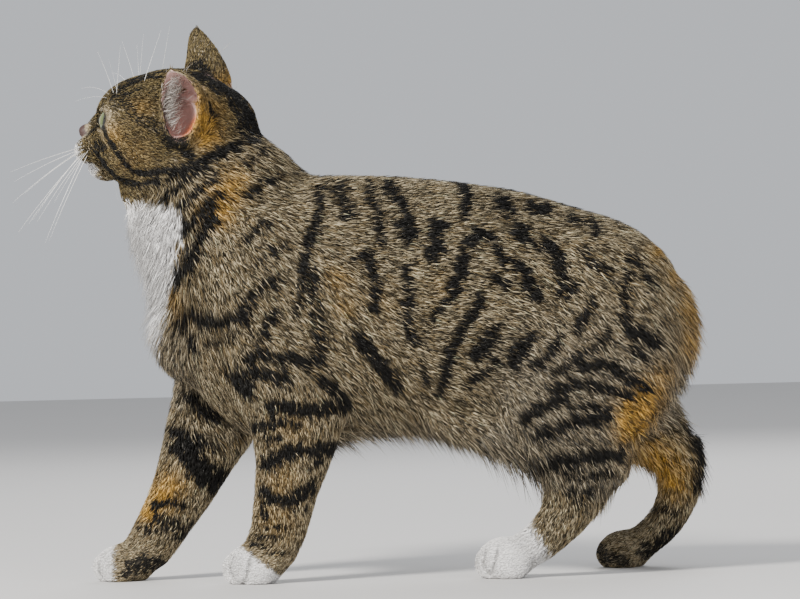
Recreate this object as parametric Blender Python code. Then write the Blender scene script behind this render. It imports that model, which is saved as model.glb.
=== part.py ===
# A life-size tailless tabby cat, standing in mid-stride with its head turned and raised.
# The cat looks along -X, its left side is at -Y, and its paws stand on the floor at Z = 0.
# The body is modelled whole from lofted masses, fused and smoothed, then parted by thin cuts.

import bmesh
import bpy
import numpy as np
from math import cos, pi, radians, sin
from mathutils import Matrix, Vector

# Design tables are in millimetres; MM turns them into metres.
MM = 0.001
GAP = 0.0003
CUT = 0.0004

# Driving sizes in millimetres: floor to withers, and the parts that set the rest.
WITHERS = 266.0
CHEST_HALF_WIDTH = 62.0
HIP_HALF_WIDTH = 58.0
HEAD_HALF_WIDTH = 43.0
EYEBALL_RADIUS = 10.5
EAR_WALL = 2.4
WHISKER_ROOT = 0.36
SOLE_PRESS = 1.0

BODY_VOXEL = 3.0
HEAD_VOXEL = 1.5
SKIN_VOXEL = 1.9
BODY_SMOOTHING = 9
HEAD_SMOOTHING = 3
SKIN_SMOOTHING = 4
HEAD_TRIANGLES = 2380
BODY_TRIANGLES = 4300

# The head's own frame: turned away from the viewer, raised, and tipped to its left.
HEAD_CENTRE = Vector((-156.0, 3.0, 300.0))
HEAD_TURN = radians(20)
HEAD_RAISE = radians(12)
HEAD_TIP = radians(15)

# Rows of a loft: x, y, z of the middle, half depth, half width.
TRUNK = (
    (-142, 0, 166, 36, 30),
    (-122, 0, 168, 62, 46),
    (-92, 0, 171, 84, 0.92 * CHEST_HALF_WIDTH),
    (-55, 0, 177, WITHERS - 177, CHEST_HALF_WIDTH),
    (-15, 0, 180, 85, 1.03 * CHEST_HALF_WIDTH),
    (25, 0, 176, 85, 1.05 * CHEST_HALF_WIDTH),
    (65, 0, 168, 86, 1.06 * HIP_HALF_WIDTH),
    (105, 0, 162, 80, HIP_HALF_WIDTH),
    (131, 0, 158, 75, 0.99 * HIP_HALF_WIDTH),
    (149, 0, 153, 65, 0.93 * HIP_HALF_WIDTH),
    (158, 0, 149, 54, 0.78 * HIP_HALF_WIDTH),
)
NECK = (
    (-90, 0, 188, 68, 52),
    (-103, 0, 216, 67, 49),
    (-118, 0, 243, 61, 45),
    (-130, 0, 266, 55, 42),
    (-135, 1, 286, 50, 40),
    (-134, 3, 302, 45, 37),
)
LEFT_FORELEG = (
    (-86, -40, 172, 36, 20),
    (-76, -44, 136, 36, 21),
    (-70, -42, 108, 32, 20),
    (-72, -39, 84, 26, 18),
    (-77, -37, 62, 21.5, 16.5),
    (-82, -35, 38, 19, 16),
    (-88, -34, 20, 17, 16),
)
RIGHT_FORELEG = (
    (-104, 38, 168, 36, 20),
    (-116, 41, 136, 35, 21),
    (-126, 40, 108, 31, 20),
    (-137, 37, 84, 26, 18),
    (-148, 34, 60, 21.5, 16.5),
    (-161, 31, 38, 18, 16),
    (-172, 30, 20, 16, 15.5),
)
LEFT_HIND_LEG = (
    (134, -32, 186, 52, 26),
    (124, -39, 152, 60, 27),
    (116, -43, 122, 58, 25),
    (112, -45, 96, 47, 22),
    (114, -45, 75, 34, 18),
    (111, -44, 56, 22.5, 15),
    (103, -42, 39, 16.5, 13.5),
    (88, -40, 24, 13.5, 13.5),
    (74, -39, 15, 12, 14),
)
LEFT_HOCK = ((108, -45, 76, 18, 15), (127, -45, 71, 15, 14), (139, -44, 67, 11.5, 12))
LEFT_FLANK_FOLD = (
    (24, -32, 104, 13, 12),
    (48, -38, 95, 14, 11),
    (70, -43, 86, 14, 12),
    (88, -45, 78, 14, 12),
)
RIGHT_FLANK_FOLD = (
    (70, 32, 104, 13, 12),
    (96, 38, 99, 14, 11),
    (120, 43, 95, 14, 12),
    (140, 45, 92, 14, 12),
)
RUMP_KNOB = ((158, 0, 205), (9, 11, 8))
RIGHT_HIND_LEG = (
    (132, 32, 184, 48, 26),
    (134, 39, 148, 50, 26),
    (145, 44, 116, 40, 23),
    (166, 47, 91, 28, 19),
    (185, 49, 74, 19.5, 15.5),
    (185, 50, 56, 15, 13.5),
    (180, 50, 39, 13.5, 13),
    (169, 50, 24, 12, 13),
    (156, 50, 15, 11, 13.5),
)
SHOULDER_BLADE = Vector((38, 19, 60))
HAUNCH = Vector((56, 24, 54))

# Paws: heel x, y, front x, half width, height of the instep.
LEFT_FOREPAW = (-82, -34, -121.5, 18.5, 26)
RIGHT_FOREPAW = (-170, 30, -209.5, 18, 25)
LEFT_HIND_PAW = (80, -39, 43.5, 17.5, 27)
RIGHT_HIND_PAW = (162, 50, 126.5, 17.5, 25)
PAWS = (LEFT_FOREPAW, RIGHT_FOREPAW, LEFT_HIND_PAW, RIGHT_HIND_PAW)
# Toes from the outer side to the inner: place across the paw, how far each stands back.
TOES = ((-0.68, 11), (-0.24, 2.5), (0.22, 0), (0.64, 6))
TOE_RADII = (13, 6.3, 12.2)

# Head masses in the head's frame: forward, left, up; a loft row is forward, 0, up, half height, half width.
SKULL = (
    (-44, 0, -4, 29, 27),
    (-30, 0, 0, 39, 37),
    (-12, 0, 1, 41, HEAD_HALF_WIDTH - 2),
    (5, 0, -1, 38, HEAD_HALF_WIDTH - 3),
    (19, 0, -3.5, 32, 36),
    (31, 0, -12, 22, 25.5),
    (38, 0, -16, 16.5, 18),
    (42.5, 0, -19, 11, 12),
)
NOSE_BRIDGE = ((20, 0, 16, 10, 14), (33, 0, 4, 8.5, 9.5), (43, 0, -4.7, 7.5, 8), (50, 0, -10.5, 5.8, 6.5))
CHEEK = ((5, 28.5, -14), (24, 14.5, 20))
BROW = ((21.5, 17.5, 16.5), (10.5, 12, 6.5))
CHIN = ((37, 0, -33.5), (13, 12.5, 9.5))
MUZZLE = ((39, 9, -21), (12, 11.5, 10))
WHISKER_PAD = ((45, 10.2, -21), (10.5, 9.9, 9.6))
NOSE_LEATHER = ((52.6, 0, -11.5), (5.6, 7.0, 4.8))
NOSE_ROOM = 0.4
NOSTRIL = ((57.0, 3.0, -12.6), (2.6, 1.5, 1.3))

# Eyes: the ball's middle, the way it looks, and the almond opening of the lids.
EYE = (23.0, 19.2, 4.5)
EYE_OUTWARD = radians(15)
LID_THICKNESS = 1.3
EYE_OPENING_HALF_WIDTH = 9.4
EYE_OPENING_HALF_HEIGHT = 6.9
EYE_SLANT = radians(14)

# Ears, turned out to the sides. The ring where the cup stands on the head (its middle, then its
# half axes towards the crown and ahead) and the tip.
LEFT_EAR_RING = ((-30, 29, 20), (2, -13, 17), (15.5, 2, 2), (-25, 43, 54))
RIGHT_EAR_RING = ((-20, -28, 23), (2, 13, 17), (14.5, -2, 2), (-9, -30, 64))
EAR_NOTCH_RISE = 5.0
EAR_STEPS = (20, 4)
EAR_FULLNESS = (0.25, 0.65)
EAR_CUP = 3.0
EAR_SUNK = 7.0
EAR_ROOM = 0.45
EAR_HOLLOW = ((-27, 31, 20), (10, 12, 13))

# Whiskers of one side: where each stands on its pad and the way it points (both ahead, out, up),
# its length and its droop.
WHISKERS = (
    ((0.35, 0.85, 0.4), (0.4, 1.0, -0.05), 62, 4),
    ((0.0, 0.9, 0.4), (0.15, 1.0, -0.15), 70, 6),
    ((-0.3, 0.85, 0.35), (-0.1, 1.0, -0.2), 64, 7),
    ((0.5, 0.85, 0.05), (0.42, 1.0, -0.4), 60, 6),
    ((0.1, 1.0, 0.0), (0.2, 1.0, -0.5), 74, 8),
    ((-0.25, 0.9, -0.05), (-0.05, 1.0, -0.6), 68, 9),
    ((0.5, 0.8, -0.35), (0.4, 1.0, -0.9), 50, 6),
    ((0.15, 0.85, -0.4), (0.15, 1.0, -1.1), 58, 8),
)

# The mouth, seen from the side: down from the nose, back along the lips, then down behind the jaw.
MOUTH_LINE = ((64, -29.5), (50, -29), (42, -27), (32, -27), (22, -30), (15, -34), (11, -54))


def link(name, mesh):
    """A new object that holds the mesh."""
    obj = bpy.data.objects.new(name, mesh)
    bpy.context.scene.collection.objects.link(obj)
    return obj


def mesh_object(name, points, faces):
    """A closed object from points in millimetres, with its faces turned outwards."""
    mesh = bpy.data.meshes.new(name)
    mesh.from_pydata([tuple(MM * c for c in p) for p in points], [], faces)
    bm = bmesh.new()
    bm.from_mesh(mesh)
    bmesh.ops.remove_doubles(bm, verts=bm.verts, dist=1e-6)
    bmesh.ops.recalc_face_normals(bm, faces=bm.faces)
    bm.to_mesh(mesh)
    bm.free()
    return link(name, mesh)


def bake(obj):
    """Puts the modified mesh in place of the object's own mesh."""
    graph = bpy.context.evaluated_depsgraph_get()
    mesh = bpy.data.meshes.new_from_object(obj.evaluated_get(graph))
    obj.modifiers.clear()
    obj.data = mesh
    return obj


def drop(objs):
    for obj in objs:
        bpy.data.objects.remove(obj)


def joined(name, objs):
    """All the objects' meshes in one object, still as overlapping shells."""
    bm = bmesh.new()
    for obj in objs:
        mesh = obj.data.copy()
        mesh.transform(obj.matrix_world)
        bm.from_mesh(mesh)
        bpy.data.meshes.remove(mesh)
    mesh = bpy.data.meshes.new(name)
    bm.to_mesh(mesh)
    bm.free()
    drop(objs)
    return link(name, mesh)


def fused(name, objs, voxel, smoothing):
    """Overlapping masses grown into one closed skin, with the creases between them eased."""
    obj = joined(name, objs)
    remesh = obj.modifiers.new("fuse", "REMESH")
    remesh.mode = "VOXEL"
    remesh.voxel_size = voxel * MM
    smooth = obj.modifiers.new("ease", "SMOOTH")
    smooth.factor = 0.5
    smooth.iterations = smoothing
    return bake(obj)


def boolean(obj, others, operation, solver="EXACT"):
    """Joins the other closed objects to obj, or cuts them from it, and removes them."""
    tools = bpy.data.collections.new("tools")
    for other in others:
        tools.objects.link(other)
    modifier = obj.modifiers.new(operation, "BOOLEAN")
    modifier.operation = operation
    modifier.solver = solver
    modifier.operand_type = "COLLECTION"
    modifier.collection = tools
    bake(obj)
    drop(others)
    bpy.data.collections.remove(tools)
    return obj


def reduced(obj, triangles):
    """The object's mesh simplified to about this many triangles."""
    bm = bmesh.new()
    bm.from_mesh(obj.data)
    bmesh.ops.triangulate(bm, faces=bm.faces)
    count = len(bm.faces)
    bm.to_mesh(obj.data)
    bm.free()
    if count > triangles:
        modifier = obj.modifiers.new("reduce", "DECIMATE")
        modifier.ratio = triangles / count
        modifier.use_collapse_triangulate = True
        bake(obj)
    return obj


def eased_rows(rows, steps):
    """Rows read from a smooth curve through the given ones (Catmull-Rom)."""
    rows = np.array(rows, float)
    ends = np.vstack([2 * rows[0] - rows[1], rows, 2 * rows[-1] - rows[-2]])
    found = []
    for k in range(len(rows) - 1):
        a, b, c, d = ends[k : k + 4]
        for t in np.arange(steps) / steps:
            found.append(
                0.5
                * (
                    2 * b
                    + (c - a) * t
                    + (2 * a - 5 * b + 4 * c - d) * t**2
                    + (3 * b - a - 3 * c + d) * t**3
                )
            )
    found.append(rows[-1])
    return np.array(found)


def loft(name, rows, frame=None, sides=28, steps=5, boxy=1.0, low=0.0):
    """A tube of oval rings along the rows' middles, with domed ends.

    Each ring's width lies along Y and its depth across the path; low widens its lower half."""
    rows = eased_rows(rows, steps)
    middles = rows[:, :3]
    along = np.gradient(middles, axis=0)
    along /= np.linalg.norm(along, axis=1)[:, None]
    rings = [(middles[k], along[k], rows[k, 3], rows[k, 4]) for k in range(len(rows))]
    dome = [(cos(a), sin(a)) for a in (radians(76), radians(52), radians(26))]

    def domed(ring, sign):
        middle, way, depth, width = ring
        reach = sign * 0.8 * min(depth, width)
        return [(middle + way * reach * s, way, depth * c, width * c) for c, s in dome]

    rings = domed(rings[0], -1) + rings + domed(rings[-1], 1)[::-1]
    points = []
    for middle, way, depth, width in rings:
        side = np.array((0.0, 1.0, 0.0))
        side -= way * side.dot(way)
        side /= np.linalg.norm(side)
        rise = np.cross(way, side)
        rise *= np.sign(rise[2]) if abs(rise[2]) > abs(rise[0]) else -np.sign(rise[0])
        for k in range(sides):
            c, s = cos(2 * pi * k / sides), sin(2 * pi * k / sides)
            across = abs(c) ** boxy * np.sign(c) * (1 - low * s)
            up = abs(s) ** boxy * np.sign(s)
            points.append(middle + side * width * across + rise * depth * up)
    faces = []
    for r in range(len(rings) - 1):
        for k in range(sides):
            n = (k + 1) % sides
            faces.append((r * sides + k, r * sides + n, (r + 1) * sides + n, (r + 1) * sides + k))
    faces.append(tuple(range(sides)))
    faces.append(tuple(range((len(rings) - 1) * sides, len(rings) * sides)))
    if frame is not None:
        points = [frame @ Vector(p) for p in points]
    return mesh_object(name, points, faces)


def ball(name, centre, radii, frame=None, segments=24, rings=14):
    """An ellipsoid with its radii along the axes of the frame."""
    bm = bmesh.new()
    bmesh.ops.create_uvsphere(bm, u_segments=segments, v_segments=rings, radius=1.0)
    place = Matrix.Translation(Vector(centre)) @ Matrix.Diagonal((*radii, 1.0))
    place = (frame or Matrix.Identity(4)) @ place
    points = [place @ v.co for v in bm.verts]
    bm.verts.index_update()
    faces = [tuple(v.index for v in f.verts) for f in bm.faces]
    bm.free()
    return mesh_object(name, points, faces)


def head_frame():
    """Forward, left and up of the head as columns, and its centre."""
    level = cos(HEAD_RAISE)
    forward = Vector((-cos(HEAD_TURN) * level, sin(HEAD_TURN) * level, sin(HEAD_RAISE)))
    level_left = Vector((-sin(HEAD_TURN), -cos(HEAD_TURN), 0))
    level_up = forward.cross(level_left)
    left = level_left * cos(HEAD_TIP) - level_up * sin(HEAD_TIP)
    up = level_up * cos(HEAD_TIP) + level_left * sin(HEAD_TIP)
    turn = Matrix((forward, left, up)).transposed().to_4x4()
    return Matrix.Translation(HEAD_CENTRE) @ turn


HEAD = head_frame()


def mirrored(point, side):
    """A point of the head's frame, on its left (1) or right (-1) side."""
    return (point[0], side * point[1], point[2])


def instep(heel_x, y, front_x, half_width, height):
    """The back of a paw, up to the ankle."""
    middle, reach = 0.5 * (heel_x + front_x), 0.5 * abs(heel_x - front_x)
    return ball("instep", (middle + 2, y, 0.42 * height), (reach + 1, 0.9 * half_width, 0.6 * height))


def toes(heel_x, y, front_x, half_width, height):
    """Four toes, pressed a little into the floor, the outer one furthest back."""
    outer = -1 if y < 0 else 1
    length, width, tall = TOE_RADII
    found = []
    for across, back in TOES:
        place = (front_x + length + back, y - outer * across * half_width, tall - 1.7 - SOLE_PRESS)
        found.append(ball("toe", place, TOE_RADII, segments=20, rings=12))
    return found


def body_masses():
    """Trunk, neck, shoulders, haunches, legs and paws, overlapping."""
    masses = [
        loft("trunk", TRUNK, boxy=0.94),
        loft("neck", NECK),
        loft("left_foreleg", LEFT_FORELEG),
        loft("right_foreleg", RIGHT_FORELEG),
        loft("left_hind_leg", LEFT_HIND_LEG),
        loft("left_hock", LEFT_HOCK),
        loft("right_hind_leg", RIGHT_HIND_LEG),
        loft("left_fold", LEFT_FLANK_FOLD),
        loft("right_fold", RIGHT_FLANK_FOLD),
        ball("knob", *RUMP_KNOB),
    ]
    for side, x in ((-1, -84), (1, -98)):
        masses.append(ball("shoulder", (x, side * 42, 186), SHOULDER_BLADE))
    for side in (-1, 1):
        masses.append(ball("haunch", (118, side * 33, 172), HAUNCH))
    for shape in PAWS:
        masses.append(instep(*shape))
    return masses


def head_masses():
    """Skull, cheeks, brows, lids, bridge of the nose, whisker pads and chin, overlapping."""
    masses = [
        loft("skull", SKULL, HEAD, low=0.1),
        loft("bridge", NOSE_BRIDGE, HEAD),
        ball("chin", *CHIN, HEAD),
    ]
    lid = EYEBALL_RADIUS + LID_THICKNESS
    for side in (-1, 1):
        for centre, radii in (CHEEK, BROW, MUZZLE, (EYE, (lid, lid, lid))):
            masses.append(ball("mass", mirrored(centre, side), radii, HEAD))
    return masses


def eye_axes(side):
    """The frame of one eye: its ball's middle, with X looking out and Y along the slit."""
    look = Vector((cos(EYE_OUTWARD), side * sin(EYE_OUTWARD), 0.06)).normalized()
    level = cos(EYE_SLANT)
    slit = Vector((-sin(EYE_OUTWARD) * level, side * cos(EYE_OUTWARD) * level, sin(EYE_SLANT)))
    slit = (slit - look * slit.dot(look)).normalized()
    frame = Matrix((look, slit, look.cross(slit))).transposed().to_4x4()
    return HEAD @ Matrix.Translation(Vector(mirrored(EYE, side))) @ frame


def lid_opening(name, side):
    """The almond that the lids leave open, as a prism along the way the eye looks."""
    outline = []
    for k in range(24):
        a = 2 * pi * k / 24
        across = EYE_OPENING_HALF_WIDTH * cos(a)
        outline.append((across, EYE_OPENING_HALF_HEIGHT * sin(a) * (0.62 + 0.38 * sin(a) ** 2)))
    near, far = 2.0, 20.0
    frame = eye_axes(side)
    points = [frame @ Vector((x, a, b)) for x in (near, far) for a, b in outline]
    n = len(outline)
    faces = [(k, (k + 1) % n, n + (k + 1) % n, n + k) for k in range(n)]
    faces += [tuple(range(n)), tuple(range(n, 2 * n))]
    return mesh_object(name, points, faces)


def on_skin(skin, point):
    """The nearest point of the skin to a point of the head's frame, and its normal, in that frame."""
    found, where, normal, index = skin.closest_point_on_mesh(HEAD @ Vector(point) * MM)
    into = HEAD.inverted()
    return into @ (where / MM), (into.to_3x3() @ normal).normalized()


def ear(name, side, skin, room=0.0):
    """A cup of even wall: low at the notch on the side of the head, rising to a tip.

    With room it is made thicker and sunk deeper, to cut its own slot in the head."""
    ring = LEFT_EAR_RING if side > 0 else RIGHT_EAR_RING
    middle, up, ahead, tip = (Vector(v) for v in ring)
    reach = (tip - middle).normalized()
    around, rise = EAR_STEPS
    bm = bmesh.new()
    grid = []
    for k in range(around):
        a = 2 * pi * (k + 0.5) / around
        foot, normal = on_skin(skin, middle + up * cos(a) + ahead * sin(a))
        share = cos(a / 2) ** 2
        rim = foot.lerp(tip, share**0.9) + (reach + normal) * 0.5 * EAR_NOTCH_RISE * (1 - share)
        rim += ahead * sin(a) * EAR_FULLNESS[sin(a) < 0] * share**0.5
        root = foot - normal * (EAR_SUNK + room)
        column = [bm.verts.new(HEAD @ root * MM)]
        for r in range(rise + 1):
            t = r / rise
            bulge = Vector((-0.5, -side, 0.5)) * EAR_CUP * sin(pi * t) * share
            column.append(bm.verts.new(HEAD @ (foot.lerp(rim, t) + bulge) * MM))
        grid.append(column)
    for k in range(around):
        here, there = grid[k], grid[(k + 1) % around]
        for r in range(rise + 1):
            bm.faces.new((here[r], there[r], there[r + 1], here[r + 1]))
    bmesh.ops.triangulate(bm, faces=bm.faces)
    bmesh.ops.recalc_face_normals(bm, faces=bm.faces)
    mesh = bpy.data.meshes.new(name)
    bm.to_mesh(mesh)
    bm.free()
    obj = link(name, mesh)
    wall = obj.modifiers.new("wall", "SOLIDIFY")
    wall.thickness = (EAR_WALL + 2 * room) * MM
    wall.offset = 0.0
    wall.use_even_offset = True
    return bake(obj)


def mouth_cut():
    """A thin bent sheet that parts the lower jaw from the head."""
    half_width = 60
    points = []
    for sign in (-1, 1):
        for k, (ahead, up) in enumerate(MOUTH_LINE):
            before = Vector(MOUTH_LINE[max(k - 1, 0)])
            after = Vector(MOUTH_LINE[min(k + 1, len(MOUTH_LINE) - 1)])
            normal = (after - before).normalized().orthogonal() * 0.5 * (CUT / MM)
            for side in (-1, 1):
                p = (ahead + sign * normal.x, side * half_width, up + sign * normal.y)
                points.append(HEAD @ Vector(p))
    n = len(MOUTH_LINE)
    faces = []
    for layer in (0, 2 * n):
        for k in range(n - 1):
            faces.append((layer + 2 * k, layer + 2 * k + 1, layer + 2 * k + 3, layer + 2 * k + 2))
    for k in range(n - 1):
        for side in (0, 1):
            a, b = 2 * k + side, 2 * k + 2 + side
            faces.append((a, b, 2 * n + b, 2 * n + a))
    for k in (0, n - 1):
        faces.append((2 * k, 2 * k + 1, 2 * n + 2 * k + 1, 2 * n + 2 * k))
    return mesh_object("mouth", points, faces)


def slab(centre, normal, radius):
    """A thin round plate that parts the body where it stands."""
    bm = bmesh.new()
    bmesh.ops.create_cone(
        bm, cap_ends=True, segments=24, radius1=radius, radius2=radius, depth=CUT / MM
    )
    turn = Vector((0, 0, 1)).rotation_difference(Vector(normal)).to_matrix().to_4x4()
    place = Matrix.Translation(Vector(centre)) @ turn
    points = [place @ v.co for v in bm.verts]
    bm.verts.index_update()
    faces = [tuple(v.index for v in f.verts) for f in bm.faces]
    bm.free()
    return mesh_object("slab", points, faces)


def parts_of(obj):
    """Each closed surface of the object as its own object, the largest first; crumbs are dropped."""
    bm = bmesh.new()
    bm.from_mesh(obj.data)
    bm.verts.ensure_lookup_table()
    seen, found = set(), []
    for first in bm.verts:
        if first.index in seen:
            continue
        seen.add(first.index)
        island, edge = [first], [first]
        while edge:
            vert = edge.pop()
            for link_edge in vert.link_edges:
                other = link_edge.other_vert(vert)
                if other.index not in seen:
                    seen.add(other.index)
                    island.append(other)
                    edge.append(other)
        found.append(island)
    pieces = []
    for island in sorted(found, key=len, reverse=True):
        if len(island) < 30:
            continue
        keep = {v.index for v in island}
        part = bm.copy()
        bmesh.ops.delete(part, geom=[v for v in part.verts if v.index not in keep], context="VERTS")
        mesh = bpy.data.meshes.new("piece")
        part.to_mesh(mesh)
        part.free()
        pieces.append(link("piece", mesh))
    bm.free()
    drop([obj])
    return pieces


def middle_of(obj):
    """The middle of the object's surface, in millimetres."""
    total, area = Vector(), 0.0
    for face in obj.data.polygons:
        total += face.center * face.area
        area += face.area
    return total / area / MM


def named_parts(obj, seeds):
    """Parts the object into its closed surfaces and names each by the nearest seed."""
    taken = {}
    for piece in parts_of(obj):
        name = min(seeds, key=lambda n: (middle_of(piece) - Vector(seeds[n])).length)
        if name in taken:
            drop([piece])
            continue
        piece.name = piece.data.name = name
        taken[name] = piece
    return taken


def trimmed(obj, point, normal):
    """Keeps what lies behind the plane and closes the cut flat."""
    bm = bmesh.new()
    bm.from_mesh(obj.data)
    everything = bm.verts[:] + bm.edges[:] + bm.faces[:]
    cut = bmesh.ops.bisect_plane(
        bm, geom=everything, plane_co=Vector(point) * MM, plane_no=Vector(normal), clear_outer=True
    )
    edges = [e for e in cut["geom_cut"] if isinstance(e, bmesh.types.BMEdge)]
    bmesh.ops.holes_fill(bm, edges=[e for e in edges if e.is_boundary], sides=0)
    bmesh.ops.triangulate(bm, faces=bm.faces)
    bmesh.ops.recalc_face_normals(bm, faces=bm.faces)
    bm.to_mesh(obj.data)
    bm.free()
    return obj


def copied(obj, name):
    return link(name, obj.data.copy())


def whisker(name, root, way, length, droop):
    """A thin tapering hair from its root, bending down towards the tip."""
    way = Vector(way).normalized()
    rows = []
    for t in (0.0, 0.25, 0.5, 0.75, 1.0):
        point = Vector(root) + way * length * t + Vector((0, 0, -droop * t * t))
        rows.append((point, WHISKER_ROOT * (1 - 0.7 * t)))
    sides = 4
    points, faces = [], []
    for k, (point, radius) in enumerate(rows):
        ahead = (rows[min(k + 1, 4)][0] - rows[max(k - 1, 0)][0]).normalized()
        across = ahead.orthogonal().normalized()
        upward = ahead.cross(across)
        for n in range(sides):
            a = 2 * pi * n / sides
            points.append(HEAD @ (point + (across * cos(a) + upward * sin(a)) * radius))
    for r in range(len(rows) - 1):
        for n in range(sides):
            m = (n + 1) % sides
            faces.append((r * sides + n, r * sides + m, (r + 1) * sides + m, (r + 1) * sides + n))
    faces.append(tuple(range(sides)))
    faces.append(tuple(range(4 * sides, 5 * sides)))
    return mesh_object(name, points, faces)


def nose_ball(name, room=0.0):
    """The leather of the nose, or with room the hollow that holds it."""
    centre, radii = NOSE_LEATHER
    return ball(name, centre, [r + room for r in radii], HEAD, 18, 10)


def whisker_pad(name, side):
    """A soft mound with its rows of whiskers grown into it."""
    centre, radii = WHISKER_PAD
    pad = ball(name, mirrored(centre, side), radii, HEAD, 20, 12)
    boolean(pad, [nose_ball("nose_room", NOSE_ROOM)], "DIFFERENCE")
    hairs = []
    for place, way, length, droop in WHISKERS:
        place = Vector(place).normalized() * 0.72
        root = Vector([c + r * p for c, r, p in zip(centre, radii, place)])
        hairs.append(whisker("hair", mirrored(root, side), mirrored(way, side), length, droop))
    boolean(pad, hairs, "UNION", "MANIFOLD")
    return pad


# Points of the head's pieces that tell them apart, found from the head's own frame.
HEAD_SEEDS = {
    "head": tuple(HEAD @ Vector((-5, 0, 5))),
    "jaw": tuple(HEAD @ Vector((40, 0, -35))),
}

# Where the body is parted: middle, normal and radius of each cut.
HEAD_CUT = ((-133, 0, 277), (-0.5, 0.0, 0.87))
CUTS = (
    ((-112, 0, 226), (-0.71, 0.0, 0.71), 94),
    ((-8, 0, 180), (1, 0, 0), 120),
    ((66, 0, 180), (1, 0, 0.12), 130),
    ((-72, -41, 108), (0, 0.72, 0.69), 47),
    ((-126, 41, 106), (0.15, -0.72, 0.69), 46),
    ((-86, -34, 29), (0.2, 0, 1), 28),
    ((-168, 30, 29), (0.4, 0, 1), 28),
    ((114, -45, 100), (0, 0.7, 0.7), 60),
    ((145, 46, 101), (0, -0.7, 0.7), 75),
    ((110, -44, 51), (0.3, 0, 1), 36),
    ((186, 50, 57), (0.2, 0, 1), 34),
    ((84, -40, 22), (1, 0, 0.62), 26),
    ((166, 50, 21), (1, 0, 0.62), 24),
)

# Each piece's name and a point near its middle.
BODY_SEEDS = {
    "neck": (-132, 0, 240),
    "chest": (-70, 0, 170),
    "loin": (28, 0, 175),
    "rump": (120, 0, 160),
    "left_foreleg": (-76, -38, 65),
    "right_foreleg": (-146, 36, 65),
    "left_forepaw": (-95, -34, 14),
    "right_forepaw": (-182, 30, 14),
    "left_thigh": (112, -45, 82),
    "right_thigh": (175, 48, 82),
    "left_hind_foot": (103, -42, 38),
    "right_hind_foot": (182, 50, 40),
    "left_hind_paw": (64, -39, 12),
    "right_hind_paw": (147, 50, 11),
}

# Names, colours and roughness of the finished pieces.
TABBY = (0.30, 0.235, 0.16)
WHITE = (0.86, 0.84, 0.82)
COLOURS = {
    "left_forepaw": (WHITE, 0.85),
    "right_forepaw": (WHITE, 0.85),
    "left_hind_paw": (WHITE, 0.85),
    "nose": ((0.55, 0.27, 0.22), 0.45),
    "left_eye": ((0.42, 0.45, 0.12), 0.1),
    "right_eye": ((0.42, 0.45, 0.12), 0.1),
    "left_whisker_pad": (WHITE, 0.8),
    "right_whisker_pad": (WHITE, 0.8),
}


def finish(obj, name, shift):
    """Names the piece, moves it to its final place, and gives it its colour and soft shading."""
    obj.name = obj.data.name = name
    colour, roughness = COLOURS.get(name, (TABBY, 0.85))
    material = bpy.data.materials.new(name)
    material.use_nodes = True
    shader = material.node_tree.nodes["Principled BSDF"]
    shader.inputs["Base Color"].default_value = (*colour, 1)
    shader.inputs["Roughness"].default_value = roughness
    shader.inputs["Metallic"].default_value = 0.0
    obj.data.materials.clear()
    obj.data.materials.append(material)
    obj.data.transform(Matrix.Translation(shift))
    for face in obj.data.polygons:
        face.use_smooth = True


def build():
    for obj in list(bpy.data.objects):
        bpy.data.objects.remove(obj)
    body = fused("body", body_masses(), BODY_VOXEL, BODY_SMOOTHING)
    head = fused("head", head_masses(), HEAD_VOXEL, HEAD_SMOOTHING)
    ends = [toe for shape in PAWS for toe in toes(*shape)]
    cat = fused("cat", [body, head, *ends], SKIN_VOXEL, SKIN_SMOOTHING)

    point, normal = Vector(HEAD_CUT[0]), Vector(HEAD_CUT[1]).normalized()
    head = trimmed(copied(cat, "head"), point, -normal)
    body = trimmed(cat, point, normal)
    reduced(head, HEAD_TRIANGLES)
    reduced(body, BODY_TRIANGLES)
    half = 0.5 * CUT / MM
    trimmed(head, point + normal * half, -normal)
    trimmed(body, point - normal * half, normal)
    trimmed(body, (0, 0, 0), (0, 0, -1))

    pieces = {}
    cutters = [mouth_cut()]
    for side, label in ((1, "left"), (-1, "right")):
        pieces[label + "_ear"] = ear("ear", side, head)
        pieces[label + "_eye"] = ball("eye", mirrored(EYE, side), [EYEBALL_RADIUS] * 3, HEAD, 20, 12)
        pieces[label + "_whisker_pad"] = whisker_pad("pad", side)
        centre, radii = WHISKER_PAD
        grown = [r + GAP / MM for r in radii]
        cutters.append(ball("pad_room", mirrored(centre, side), grown, HEAD, 20, 12))
        cutters.append(ball("eye_room", mirrored(EYE, side), [EYEBALL_RADIUS + 0.3] * 3, HEAD, 20, 12))
        cutters.append(lid_opening("opening", side))
        cutters.append(ear("ear_room", side, head, EAR_ROOM))
        cutters.append(ball("hollow", mirrored(EAR_HOLLOW[0], side), EAR_HOLLOW[1], HEAD, 14, 8))
    nose = nose_ball("nose")
    cutters.append(nose_ball("nose_room", NOSE_ROOM))
    for side in (-1, 1):
        boolean(nose, [ball("nostril", mirrored(NOSTRIL[0], side), NOSTRIL[1], HEAD, 10, 6)], "DIFFERENCE")
    pieces["nose"] = nose
    boolean(head, cutters, "DIFFERENCE")
    pieces.update(named_parts(head, HEAD_SEEDS))
    boolean(body, [slab(*cut) for cut in CUTS], "DIFFERENCE")
    pieces.update(named_parts(body, BODY_SEEDS))

    corners = np.array([v.co for obj in pieces.values() for v in obj.data.vertices])
    low, high = corners.min(axis=0), corners.max(axis=0)
    shift = Vector((-(low[0] + high[0]) / 2, -(low[1] + high[1]) / 2, -low[2]))
    for name, obj in pieces.items():
        finish(obj, name, shift)


if __name__ == "__main__":
    build()
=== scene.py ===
# The look of the tailless tabby cat: one skin under a coat of tufts, eyes, whiskers, floor and light.
# Places are written in the millimetres of the part's own design frame and moved to the row frame once.

from math import cos, pi, radians, sin

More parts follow.
